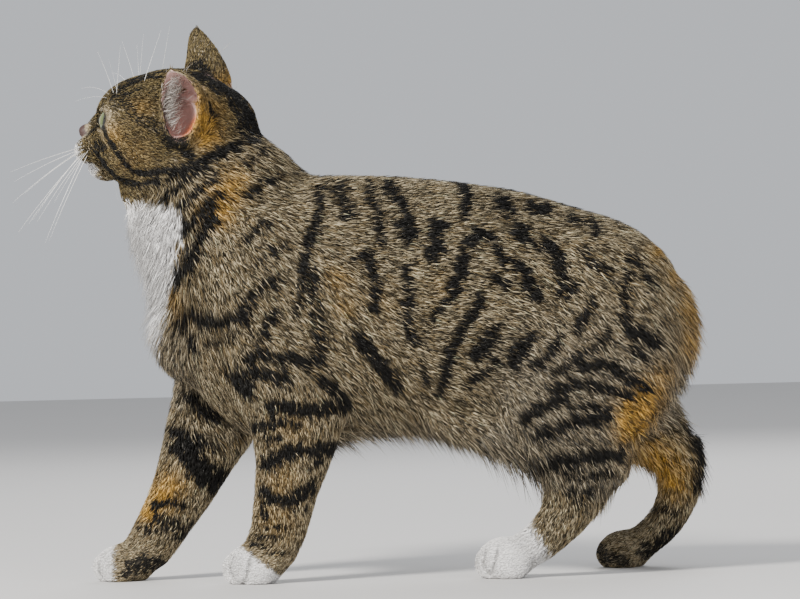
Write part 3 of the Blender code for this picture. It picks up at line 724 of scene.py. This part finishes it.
def longer(design, normals, nodes):
    # How much longer the fringes are: chest, belly, fold of the knee and back of the thighs.
    x, y, z = design.T
    torso = np.isin(nodes, (*torsoNodes, *both("thigh")))
    down = ease(-normals[:, 2], 0.1, 0.8)
    front = ease(-normals[:, 0], 0.2, 0.9)
    back = ease(normals[:, 0], 0.2, 0.9)
    bib = torso * front * ease(z, 120, 190) * (x < -110)
    belly = torso * down * (1 - ease(z, 90, 125)) * ease(x, -110, -70)
    fold = torso * (1 - ease(np.hypot(x - 66, z - 84), 16, 36))
    breeches = torso * back * ease(x, 140, 175) * (1 - ease(z, 175, 215))
    return np.clip(0.8 * bib + 0.9 * belly + 0.8 * fold + 0.8 * breeches, 0, 1.3)


normals = normalsOf(points, corners)
field = np.tile(np.array(coats[0][1], float), (len(points), 1))
for names, values in coats:
    field[np.isin(nodes, names)] = values
extra = longer(design, normals, nodes)
field[:, 0] *= 1 + 0.9 * extra
field[:, 1] *= 1 + 0.8 * extra
isNose = nodes == "nose"
field = spread(field, corners, 24)
field[isNose] = 0

# The skin lies inside the solids by the coat's depth, which runs out towards the eyes and the ears.
swell = skinLook["swell"]
earDepth = np.where(np.isin(nodes, both("ear")), 0.35, 9)
depth = np.minimum(spread(field[:, 1], corners, 10) + 0.15, earDepth) + swell
depth = spread(depth, corners, 3)
depth[isNose] = swell
local = toHead(design)
eyeAway = np.minimum(*(lengths(local - onSide(eyeLook["place"], side)) for side in (1, -1)))
depth = np.minimum(depth, swell + 0.1 + 0.3 * np.maximum(eyeAway - 12.2, 0))
for _, side, tip in ears:
    foot = onSide(headLook["earFoot"], side)
    reach = np.array(tip) - foot
    along = np.clip(((local - foot) @ reach) / (reach @ reach), 0, 1)
    away = lengths(local - foot - along[:, None] * reach)
    depth = np.minimum(depth, swell + 0.3 + 0.15 * np.maximum(away - 17, 0))
field[:, :3] *= (0.4 + 0.6 * ease(eyeAway, 11, 20))[:, None]
points = points - normals * depth[:, None] * mm


# The lips, seen from the side in the head's frame: ahead and up.
mouthLine = ((11, -34), (15, -32.5), (22, -30), (32, -27.3), (42, -27), (50, -29), (60, -29.5))


def mouthLevel(ahead):
    return np.interp(ahead, *np.array(mouthLine, float).T)


def carve(points, normals, design):
    # The line of the mouth, the fold under the nose, the nostrils and the creases of the toes.
    local = toHead(design)
    a, b, c = local[:, 0], np.abs(local[:, 1]), local[:, 2]
    onFace = (a > 13) & (a < 60) & (lengths(local) < 75) & (c < -15)
    cut = grooves["mouth"] * np.exp(-(((c - mouthLevel(a)) / 0.8) ** 2)) * onFace
    underNose = (a > 48) * ease(-c, 15, 18) * (1 - ease(-c, 27, 29))
    split = grooves["underNose"] * np.exp(-((b / 0.8) ** 2)) * underNose
    nostril = grooves["nostril"] * np.exp(-(((b - 3.0) / 1.3) ** 2) - ((c + 13.2) / 1.1) ** 2) * (a > 50)
    toes = grooves["toes"] * toeLines(design, nodes)
    return points - normals * (cut + split + nostril + toes)[:, None] * mm


points = carve(points, normals, design)
normals = normalsOf(points, corners)
design = toDesign(points)
skin.data = meshFrom("skin", points, corners.ravel(), np.full(len(corners), 3))
print("skin shaped:", len(points), "points")


def lie(design, nodes, normals):
    # Which way the hair points, in the design frame.
    x, y, z = design.T
    local = toHead(design)
    way = np.zeros_like(design)

    def put(names, vector):
        chosen = np.isin(nodes, names)
        way[chosen] = np.broadcast_to(vector, design.shape)[chosen]

    def level(ahead, up):
        return np.stack([ahead + 0 * x, 0 * x, up], 1)

    sag = ease(170 - z, 0, 70)
    put(("loin",), level(1, -0.1 - 0.7 * sag))
    shoulder = (1 - ease(x, -95, -30)) * (1 - 0.4 * ease(z, 240, 262))
    front = ease(-x, 128, 160)
    across = 1 - 0.25 * shoulder - 1.9 * front
    put(("chest", "neck"), level(across, -0.1 - 0.7 * sag - 0.75 * shoulder - 0.1 * front))
    # Behind the shoulder the hair runs steeply down.
    crease = np.exp(-(((x + 41 - 0.34 * (200 - z)) / 17) ** 2)) * (1 - ease(z, 195, 225))
    trunk = np.isin(nodes, ("chest", "loin"))
    way[trunk] += (crease[:, None] * (-0.55, 0, -1.1))[trunk]
    haunch = ease(x, 40, 110) * (1 - ease(z, 200, 245))
    rear = ease(x, 165, 190)
    put(("rump",), level(1 - 0.2 * haunch, -0.15 - 0.65 * haunch + 0.3 * rear))
    put(("left_foreleg",), (0.12, 0, -1))
    put(("right_foreleg",), (-0.3, 0, -1))
    leg = 1 - ease(z, 62, 110)
    put(both("thigh"), level(0.85 - 0.5 * leg, -0.7 - 0.3 * leg))
    put(("left_hind_foot",), (-0.4, 0, -1))
    put(("right_hind_foot",), (-0.1, 0, -1))
    put((*both("forepaw"), *both("hind_paw")), (-1, 0, -0.35))
    nose = np.array(headLook["nose"], float) + (6, 0, 4)
    fan = unit(local - nose) + (-0.35, 0, -0.15)
    put(("head", "jaw", "nose", *both("whisker_pad")), fan @ headArray[:3, :3].T)
    for name, _, tip in ears:
        put((name,), unit(np.array(tip) + (0, 0, 12) - local) @ headArray[:3, :3].T)
    return unit(way)


flow = lie(design, nodes, normals)
flow = spread(flow, corners, 30)
flow = unit(flow - normals * np.sum(flow * normals, axis=1)[:, None])

dark, warm, white, pale = markingsAndShadows(design, nodes)


def cupAway(local, side):
    # How far each point is from the middle of an ear's cup, as a share of the cup's radius.
    return lengths((local - onSide(earLook["cup"], side)) / earLook["cupRadii"])


def earInside(design, normals, nodes):
    # Inside of the ears: 1 where the surface faces into the cup.
    inside = np.zeros(len(design))
    local, turned = toHead(design), normals @ headArray[:3, :3]

    def facing(way, low, high):
        return ease(np.sum(unit(way) * turned, axis=1), low, high)

    for name, side, tip in ears:
        axisPoint = onSide(earLook["axis"], side)
        along = unit(np.array(tip, float) - axisPoint)
        away = axisPoint + along * ((local - axisPoint) @ along)[:, None] - local
        close = (nodes == "head") & (lengths(away) < 13) & (local[:, 2] > 18)
        inside = np.maximum(inside, ((nodes == name) | close) * facing(away, -0.05, 0.4))
        within = 1 - ease(cupAway(local, side), 1.15, 1.35)
        inside = np.maximum(inside, within * facing(onSide(earLook["cup"], side) - local, 0.0, 0.35))
        # The crease at the top of the cup, all along the line on which it is open.
        line = onSide(earLook["foldLine"], side)
        fold = local - onSide(earLook["fold"], side)
        deep = fold @ line
        opened = ease(turned @ line, 0.0, 0.25) * ease(turned[:, 0], -0.6, -0.3)
        near = 1 - ease(lengths(fold - deep[:, None] * line), 6, 8.5)
        inside = np.maximum(inside, near * opened * (deep > -18) * (deep < 5))
    return inside


inner = earInside(design, normals, nodes)
hollow = 1 - ease(np.minimum(*(cupAway(toHead(design), side) for side in (1, -1))), 0.85, 1.1)
bare = np.clip(np.maximum(inner, hollow * np.isin(nodes, ("head", *both("ear")))), 0, 1)


def skinColours():
    chance = rng.random(len(points))
    ground = 0.5 * colours["cream"] + 0.3 * colours["buff"] + 0.2 * colours["black"]
    ground = ground * 0.55 + (ground * 0.5 - ground * 0.55) * chance[:, None] * 0.4
    tone = ground + (colours["rufous"] * 0.5 - ground) * warm[:, None]
    tone = tone + (colours["black"] - tone) * (dark * 0.95)[:, None]
    tone = tone + (colours["white"] * 0.8 - tone) * white[:, None]
    local = toHead(design)
    pink = colours["bare"] * (0.8 + 0.35 * ease(local[:, 2], 15, 60))[:, None]
    for side in (1, -1):
        away = lengths(local - onSide(earLook["pocket"], side))
        pink = pink + (colours["pocket"] - pink) * (1 - ease(away, 6, 12))[:, None]
    tone = tone + (pink - tone) * bare[:, None]
    # Painted shade: the front of each ear's hollow is darkened.
    deep = hollow * ease(local[:, 0], -34, -22)
    tone = tone * (1 - 0.6 * deep)[:, None]
    tone[isNose] = colours["leather"]
    a, c = local[:, 0], local[:, 2]
    lips = np.exp(-(((c - mouthLevel(a)) / 0.9) ** 2)) * (a > 13) * (a < 60)
    tone = tone * (1 - 0.7 * lips * np.isin(nodes, ("head", "jaw")))[:, None]
    rim = (1 - ease(eyeAway, 11.9, 13.4)) * (nodes == "head")
    return tone + (colours["black"] - tone) * rim[:, None]


paint(skin.data, skinColours())


def plug(tree, socket, value):
    # Links a shader value to the socket, or writes a constant there.
    value = value.socket if isinstance(value, Sum) else value
    if isinstance(value, bpy.types.NodeSocket):
        tree.links.new(value, socket)
    else:
        socket.default_value = value


class Sum:
    # A shader value that can be written as arithmetic.
    def __init__(self, tree, socket):
        self.tree, self.socket = tree, socket

    def make(self, operation, *others):
        node = self.tree.nodes.new("ShaderNodeMath")
        node.operation = operation
        for slot, value in zip(node.inputs, (self, *others)):
            plug(self.tree, slot, value)
        return Sum(self.tree, node.outputs[0])

    def __add__(self, other):
        return self.make("ADD", other)

    def __mul__(self, other):
        return self.make("MULTIPLY", other)

    def __truediv__(self, other):
        return self.make("DIVIDE", other)

    def between(self, low, high):
        # 0 at low, 1 at high, eased.
        node = self.tree.nodes.new("ShaderNodeMapRange")
        node.interpolation_type = "SMOOTHSTEP"
        for name, value in (("Value", self), ("From Min", low), ("From Max", high)):
            plug(self.tree, node.inputs[name], value)
        return Sum(self.tree, node.outputs["Result"])


class Look:
    # A Principled material with helpers for its inputs.
    def __init__(self, name, **constants):
        self.material = bpy.data.materials.new(name)
        self.material.use_nodes = True
        self.tree = self.material.node_tree
        self.shader = self.tree.nodes["Principled BSDF"]
        for key, value in constants.items():
            self.feed(key, value)

    def node(self, kind, links=None, **settings):
        # Any other node: settings are its properties, links its inputs by name.
        node = self.tree.nodes.new(kind)
        for key, value in settings.items():
            setattr(node, key, value)
        for key, value in (links or {}).items():
            plug(self.tree, node.inputs[key], value)
        return node

    def objectPlace(self):
        return self.node("ShaderNodeTexCoord").outputs["Object"]

    def noise(self, size, detail=2.0):
        links = {"Vector": self.objectPlace(), "Scale": 1 / size, "Detail": detail}
        return Sum(self.tree, self.node("ShaderNodeTexNoise", links).outputs["Fac"])

    def tint(self):
        return self.node("ShaderNodeAttribute", attribute_name="tint").outputs["Color"]

    def mix(self, share, first, second):
        # Colours are sockets or three numbers.
        ends = [(*c, 1) if isinstance(c, (tuple, list)) else c for c in (first, second)]
        return self.node("ShaderNodeMix", {0: share, 6: ends[0], 7: ends[1]}, data_type="RGBA").outputs[2]

    def feed(self, name, value):
        plug(self.tree, self.shader.inputs[name], value)

    def bump(self, height, distance, strength):
        node = self.node("ShaderNodeBump", {"Height": height, "Distance": distance, "Strength": strength})
        self.feed("Normal", node.outputs["Normal"])


def dress(obj, look):
    obj.data.materials.clear()
    obj.data.materials.append(look.material)


skinMaterial = Look("skin", Roughness=skinLook["roughness"])
skinMaterial.feed("Base Color", skinMaterial.tint())
skinMaterial.bump(skinMaterial.noise(skinLook["grain"], 4.0), 0.0004, 0.6)
dress(skin, skinMaterial)

hairMaterial = Look("coat", **{"Specular IOR Level": 0.28})
hairMaterial.feed("Base Color", hairMaterial.tint())
hairMaterial.feed("Roughness", hairMaterial.noise(0.004) * 0.3 + 0.45)


# A flat copy of the skin gives every tuft its place in the coat's UV map.
unwrapped = skin.copy()
unwrapped.data = skin.data.copy()
bpy.context.scene.collection.objects.link(unwrapped)
bpy.ops.object.select_all(action="DESELECT")
unwrapped.select_set(True)
bpy.context.view_layer.objects.active = unwrapped
bpy.ops.object.mode_set(mode="EDIT")
bpy.ops.mesh.select_all(action="SELECT")
bpy.ops.uv.smart_project(angle_limit=radians(66), island_margin=0.002)
bpy.ops.object.mode_set(mode="OBJECT")
uvs = np.empty(len(unwrapped.data.loops) * 2, np.float32)
unwrapped.data.uv_layers.active.data.foreach_get("uv", uvs)
uvs = uvs.reshape(-1, 3, 2)
bpy.data.objects.remove(unwrapped)
print("skin unwrapped")

skinTree = BVHTree.FromPolygons(points.tolist(), corners.tolist())


def onFaces(values, face, weights):
    return np.einsum("nk,nk...->n...", weights, values[corners[face]])


def layTufts(count):
    # Roots spread at random by the density of the coat: the face of each and its place there.
    a, b, c = (points[corners[:, k]] for k in range(3))
    area = np.linalg.norm(np.cross(b - a, c - a), axis=1) / 2
    covered = (1 - bare) * (field[:, 3] > 0)
    amount = area * (field[:, 3] * covered)[corners].mean(axis=1)
    face = rng.choice(len(corners), count, p=amount / amount.sum())
    u, v = rng.random(count), rng.random(count)
    flip = u + v > 1
    u[flip], v[flip] = 1 - u[flip], 1 - v[flip]
    weights = np.stack([1 - u - v, u, v], 1)
    return face, weights


face, weights = layTufts(coatLook["tufts"])
root = onFaces(points, face, weights)
out = unit(onFaces(normals, face, weights))
run = onFaces(flow, face, weights)
length, lift, width, _ = (onFaces(field, face, weights) * mm).T
count = len(root)
fringe = onFaces(spread(extra, corners, 12), face, weights)
lean = rng.normal(0, 0.2, count) + (0.24 + 0.2 * fringe) * ripple(toDesign(root), coatLook["lock"])
side = np.cross(out, run)
run = unit(run + side * lean[:, None])
side = unit(np.cross(out, run))
length = length * rng.normal(1.0, 0.16, count).clip(0.55, 1.5)
lift = lift * rng.normal(0.92, 0.2, count).clip(0.3, 1.25) * (1 - 0.7 * fringe.clip(0, 1))
width = width * rng.normal(0.92, 0.2, count).clip(0.45, 1.5)
middle, tip = np.empty_like(root), np.empty_like(root)
landed = np.zeros((2, count), int)
outward = [Vector(v) for v in out.tolist()]
ahead = run * length[:, None]
targets = ((ahead * coatLook["middle"], middle, coatLook["middleLift"]), (ahead, tip, coatLook["tipLift"]))

# The middle and the tip of each tuft are set on the skin below them and lifted off it.
for number, (step, result, share) in enumerate(targets):
    for k, p in enumerate((root + step).tolist()):
        where, normal, index, _ = skinTree.find_nearest(p)
        if normal.dot(outward[k]) < 0:
            where, normal = Vector(p), outward[k]
        result[k] = where + normal * (lift[k] * share + 0.0001)
        landed[number, k] = index
loose = (fringe * rng.random(count) ** 2.6)[:, None]
tip = tip + (out * 0.65 + (0, 0, -0.25)) * loose * length[:, None]
middle = middle + out * 0.15 * loose * length[:, None]
root = root - out * coatLook["sunk"]
print("tufts laid:", count)

# The visible end of each tuft takes its colour from where it lies, so the markings stay crisp.
seen = 0.35 * middle + 0.65 * tip
tipShares = markingsAndShadows(toDesign(seen), nodes[corners[landed[1], 0]])
middleShares = markingsAndShadows(toDesign(middle), nodes[corners[landed[0], 0]])
golden = onFaces(spread(goldenShare(design, nodes), corners, 30), face, weights)
rootTint, middleTint, tipTint = tuftColours(tipShares, middleShares, golden)
toeShade = 1 - 0.45 * toeLines(toDesign(tip), nodes[corners[landed[1], 0]])
shade = (toeShade * (1 + 0.10 * ripple(toDesign(root), 26.0)))[:, None]
rootTint, middleTint, tipTint = rootTint * shade, middleTint * shade, tipTint * shade


def earHairs(side):
    # Long pale hairs that stand at the front edge of an ear and lie back across its cup.
    near = np.exp(-(lengths((toHead(design) - onSide(earLook["front"], side)) / (7, 9, 16)) ** 2))
    a, b, c = (points[corners[:, k]] for k in range(3))
    amount = np.linalg.norm(np.cross(b - a, c - a), axis=1) * (near * bare)[corners].mean(axis=1)
    count = earLook["hairs"]
    chosen = rng.choice(len(corners), count, p=amount / amount.sum())
    share = rng.dirichlet((1, 1, 1), count)
    begin = onFaces(points, chosen, share)
    up = unit(onFaces(normals, chosen, share))
    aim = np.array((-0.55, 0.25 * side, 0.8)) + rng.normal(0, 0.22, (count, 3))
    aim = unit(aim @ headArray[:3, :3].T + 0.5 * up)
    reach = (earLook["length"] * mm * rng.normal(1, 0.3, count).clip(0.35, 1.7))[:, None]
    bend = rng.normal(0, 0.12, (count, 3)) * reach
    across = unit(np.cross(aim, up))
    wide = earLook["width"] * mm * rng.uniform(0.7, 1.4, count)
    tone = colours["white"] * rng.uniform(0.35, 0.9, count)[:, None] * (1, 0.93, 0.86)
    places = (begin - up * coatLook["sunk"], begin + aim * reach * 0.5 + bend, begin + aim * reach)
    frames = (across, unit(np.cross(across, aim)), wide)
    # Painted shade: each hair is darker towards its root.
    return (*places, *frames, tone * 0.7, tone * 0.9, tone, chosen, share)


hairs = (root, middle, tip, side, out, width, rootTint, middleTint, tipTint, face, weights)
for earSide in (1, -1):
    hairs = [np.concatenate(pair) for pair in zip(hairs, earHairs(earSide))]
count = len(hairs[0])

# Corners of one tuft: the root, then left, right and ridge of its middle, then the tip.
tuftFaces = (0, 1, 3, 0, 3, 2, 0, 2, 1, 1, 4, 3, 3, 4, 2, 2, 4, 1)


def tuftMesh(name, chosen):
    p, m, t, s, o, w, rootTone, middleTone, tipTone, face, weights = (part[chosen] for part in hairs)
    w = w[:, None]
    spots = np.stack([p, m + s * w, m - s * w, m + o * w * coatLook["ridge"], t], 1)
    spots[:, :, 2] = np.maximum(spots[:, :, 2], coatLook["aboveFloor"])
    loops = np.arange(len(chosen))[:, None] * 5 + np.array(tuftFaces)
    mesh = meshFrom(name, spots.reshape(-1, 3), loops.ravel(), np.full(loops.size // 3, 3))
    tint = np.stack([rootTone] + [middleTone] * 3 + [tipTone], 1)
    paint(mesh, tint.reshape(-1, 3).clip(0, 1))
    spot = np.einsum("nk,nkd->nd", weights, uvs[face])
    patch = np.array([(0, -1), (-1, 0), (1, 0), (0.15, 0), (0, 1)]) * coatLook["patch"] / 2
    placed = (spot[:, None] + patch)[:, list(tuftFaces)]
    layer = mesh.uv_layers.new(name="OFBake")
    layer.data.foreach_set("uv", placed.astype(np.float32).ravel())
    return mesh


for k in range(coatLook["layers"]):
    chosen = np.arange(k, count, coatLook["layers"])
    piece = newObject(f"coat_{k + 1}", tuftMesh(f"coat_{k + 1}", chosen))
    dress(piece, hairMaterial)
    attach(piece, "root")
print("coat built:", count, "tufts")

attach(skin, "root")
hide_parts(*flesh)


def eyeAxes(side):
    outward, slant = radians(eyeLook["outward"]), radians(eyeLook["slant"])
    look = Vector((cos(outward), side * sin(outward), 0.06)).normalized()
    slit = Vector((-sin(outward) * cos(slant), side * cos(outward) * cos(slant), sin(slant)))
    slit = (slit - look * slit.dot(look)).normalized()
    turn = (head.to_3x3() @ Matrix((look, slit, look.cross(slit))).transposed()).to_4x4()
    place = head @ Vector(onSide(eyeLook["place"], side))
    return Matrix.Translation(shift + place * mm) @ turn


def buildEye(name, side):
    axes = eyeAxes(side)
    bm = bmesh.new()
    bmesh.ops.create_uvsphere(bm, u_segments=48, v_segments=32, radius=eyeLook["radius"] * mm)
    iris = eyeLook["iris"]
    for vert in bm.verts:
        off = Vector((vert.co.x, vert.co.y)).length * 1000
        if vert.co.z > 0 and off < iris:
            vert.co.z += eyeLook["bulge"] * mm * (1 - (off / iris) ** 2)
    bm.transform(axes @ Matrix.Rotation(pi / 2, 4, "Y"))
    ball = newObject(name, meshOut(name, bm))
    ball.data.shade_smooth()

    look = Look(name, Roughness=0.08, **{"Coat Weight": 1.0, "Coat Roughness": 0.02})
    centre = {0: look.objectPlace(), 1: tuple(axes.translation)}
    away = look.node("ShaderNodeVectorMath", centre, operation="SUBTRACT").outputs[0]

    def reachAlong(column):
        links = {0: away, 1: tuple(axes.to_3x3().col[column])}
        dot = look.node("ShaderNodeVectorMath", links, operation="DOT_PRODUCT")
        return Sum(look.tree, dot.outputs["Value"])

    across, rise = reachAlong(1), reachAlong(2)
    radius = (across * across + rise * rise).make("SQRT") * 1000
    wide, tall = (value * 1000 / half for value, half in zip((across, rise), eyeLook["pupil"]))
    pupil = (wide * wide + tall * tall).between(0.85, 1.1)
    flecks = look.noise(0.0007, 3.0).between(0.35, 0.7) * 0.35
    tone = look.mix(radius.between(2.0, 6.5), eyeLook["inner"], eyeLook["outer"])
    tone = look.mix(flecks, tone, eyeLook["fleck"])
    tone = look.mix(radius.between(iris - 1.2, iris), tone, eyeLook["rim"])
    tone = look.mix(pupil, eyeLook["black"], tone)
    look.feed("Base Color", tone)
    dress(ball, look)
    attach(ball, "root")
    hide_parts(name.replace("eyeball", "eye"))


buildEye("left_eyeball", 1)
buildEye("right_eyeball", -1)
print("eyes built")


whiskerLook = {"radius": 0.00026, "steps": 9, "sides": 5, "fullLength": 58, "sunk": 0.0008}
# On the pads: root as a direction from the pad's middle, way, length, droop.
padWhiskers = (
    ((0.35, 0.85, 0.4), (0.4, 1.0, -0.05), 62, 4),
    ((0.0, 0.9, 0.4), (0.15, 1.0, -0.15), 70, 6),
    ((-0.3, 0.85, 0.35), (-0.1, 1.0, -0.2), 64, 7),
    ((0.5, 0.85, 0.05), (0.42, 1.0, -0.4), 60, 6),
    ((0.1, 1.0, 0.0), (0.2, 1.0, -0.5), 74, 8),
    ((-0.25, 0.9, -0.05), (-0.05, 1.0, -0.6), 68, 9),
    ((0.5, 0.8, -0.35), (0.4, 1.0, -0.9), 50, 6),
    ((0.15, 0.85, -0.4), (0.15, 1.0, -1.1), 58, 8),
    ((0.4, 0.85, 0.2), (0.5, 1.0, -0.2), 54, 5),
    ((-0.1, 0.95, 0.15), (0.02, 1.0, -0.36), 70, 8),
    ((0.3, 0.9, -0.2), (0.3, 1.0, -0.7), 58, 7),
)
# Over the eyes: root in the head's frame, way, length, droop.
browWhiskers = (
    ((30, 14, 20), (1.0, 0.5, 0.9), 26, 12),
    ((30, 15, 18), (1.0, 0.8, 0.4), 24, 9),
    ((27, 17, 22), (0.4, 0.05, 1.0), 36, 5),
    ((25, 18, 22), (-0.02, 0.0, 1.0), 38, 3),
    ((24, 16, 22), (0.2, 0.2, 1.0), 30, 4),
    ((8, 15, 33), (-0.18, -0.2, 1.0), 40, 2),
)


def buildWhiskers(name, hairs):
    points, loops, sizes, start = [], [], [], 0
    sides = whiskerLook["sides"]
    steps = whiskerLook["steps"]
    turn = 2 * pi * np.arange(sides) / sides
    for begin, way, reach, droop in hairs:
        way = way / np.linalg.norm(way)
        t = np.linspace(0, 1, steps)[:, None]
        line = begin + way * reach * t + np.array((0, 0, -droop)) * t * t
        line = toRow(fromHead(line))
        where, normal, _, _ = skinTree.find_nearest(line[0].tolist())
        line += np.array(where - normal * whiskerLook["sunk"]) - line[0]
        ahead = unit(np.gradient(line, axis=0))
        across = unit(np.cross(ahead, (0.31, 0.42, 0.85)))
        upward = np.cross(ahead, across)
        radius = whiskerLook["radius"] * min(1, reach / whiskerLook["fullLength"]) * (1 - 0.86 * t[:, 0])
        ring = across[:, None] * np.cos(turn)[:, None] + upward[:, None] * np.sin(turn)[:, None]
        points.append((line[:, None] + ring * radius[:, None, None]).reshape(-1, 3))
        for r in range(steps - 1):
            for k in range(sides):
                n = (k + 1) % sides
                near, far = start + r * sides, start + (r + 1) * sides
                loops += [near + k, near + n, far + n, far + k]
                sizes.append(4)
        loops += [start + k for k in reversed(range(sides))]
        loops += [start + (steps - 1) * sides + k for k in range(sides)]
        sizes += [sides, sides]
        start += steps * sides
    return newObject(name, meshFrom(name, np.concatenate(points), np.array(loops), np.array(sizes)))


def whiskersOf(side):
    rows = []
    for place, way, reach, droop in padWhiskers:
        place = np.array(place) / np.linalg.norm(place)
        rows.append((padLook["place"] + np.array(padLook["radii"]) * place * 0.85, way, reach, droop))
    return [(onSide(begin, side), onSide(way, side), *rest) for begin, way, *rest in (*rows, *browWhiskers)]


whiskerMaterial = Look("whisker")
whiskerGrain = whiskerMaterial.noise(0.002)
whiskerTone = whiskerMaterial.mix(whiskerGrain, (0.9, 0.89, 0.86), (0.8, 0.78, 0.74))
whiskerMaterial.feed("Base Color", whiskerTone)
whiskerMaterial.feed("Roughness", whiskerGrain * 0.2 + 0.25)
for name, side in (("left_whiskers", 1), ("right_whiskers", -1)):
    whiskers = buildWhiskers(name, whiskersOf(side))
    dress(whiskers, whiskerMaterial)
    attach(whiskers, "root")
print("whiskers built")


stageLook = {
    "floor": (0.56, 0.55, 0.54),
    "size": 9.0,
    "back": 1.5,
    "sky": 0.7,
    "skyColour": (0.86, 0.89, 0.94),
}
bpy.ops.mesh.primitive_plane_add(size=stageLook["size"])
floor = bpy.context.object
floor.name = "floor"
floor.data.transform(Matrix.Translation((0, stageLook["back"], 0)))
floorMaterial = Look("floor")
floorGrain = floorMaterial.noise(0.3)
floorTone = floorMaterial.mix(floorGrain, stageLook["floor"], [0.985 * c for c in stageLook["floor"]])
floorMaterial.feed("Base Color", floorTone)
floorMaterial.feed("Roughness", floorGrain * 0.1 + 0.75)
dress(floor, floorMaterial)

world = bpy.data.worlds.new("studio")
bpy.context.scene.world = world
world.use_nodes = True
background = world.node_tree.nodes["Background"]
background.inputs["Color"].default_value = (*stageLook["skyColour"], 1)
background.inputs["Strength"].default_value = stageLook["sky"]


def lamp(name, place, aim, size, power, colour=(1, 1, 1)):
    light = bpy.data.lights.new(name, "AREA")
    light.size, light.energy, light.color = size, power, colour
    obj = bpy.data.objects.new(name, light)
    obj.location = place
    obj.rotation_euler = (Vector(aim) - Vector(place)).to_track_quat("-Z", "Y").to_euler()
    bpy.context.scene.collection.objects.link(obj)


lamp("key", (-1.5, -1.9, 1.9), (0, 0, 0.15), 0.6, 175, (1.0, 0.97, 0.92))
lamp("fill", (1.8, -2.2, 0.9), (0, 0, 0.15), 1.6, 22)
lamp("back", (0.6, 2.0, 1.6), (0, 0, 0.2), 1.2, 30)

cameraLook = {"height": 0.183, "away": 3.0, "lens": 204.5, "roll": 1.4}
data = bpy.data.cameras.new("camera")
data.lens, data.sensor_width = cameraLook["lens"], 36
camera = bpy.data.objects.new("camera", data)
camera.location = (shift.x, -cameraLook["away"] + shift.y, cameraLook["height"] + shift.z)
camera.rotation_euler = (radians(90), radians(cameraLook["roll"]), 0)
bpy.context.scene.collection.objects.link(camera)
bpy.context.scene.camera = camera

print("scene built")
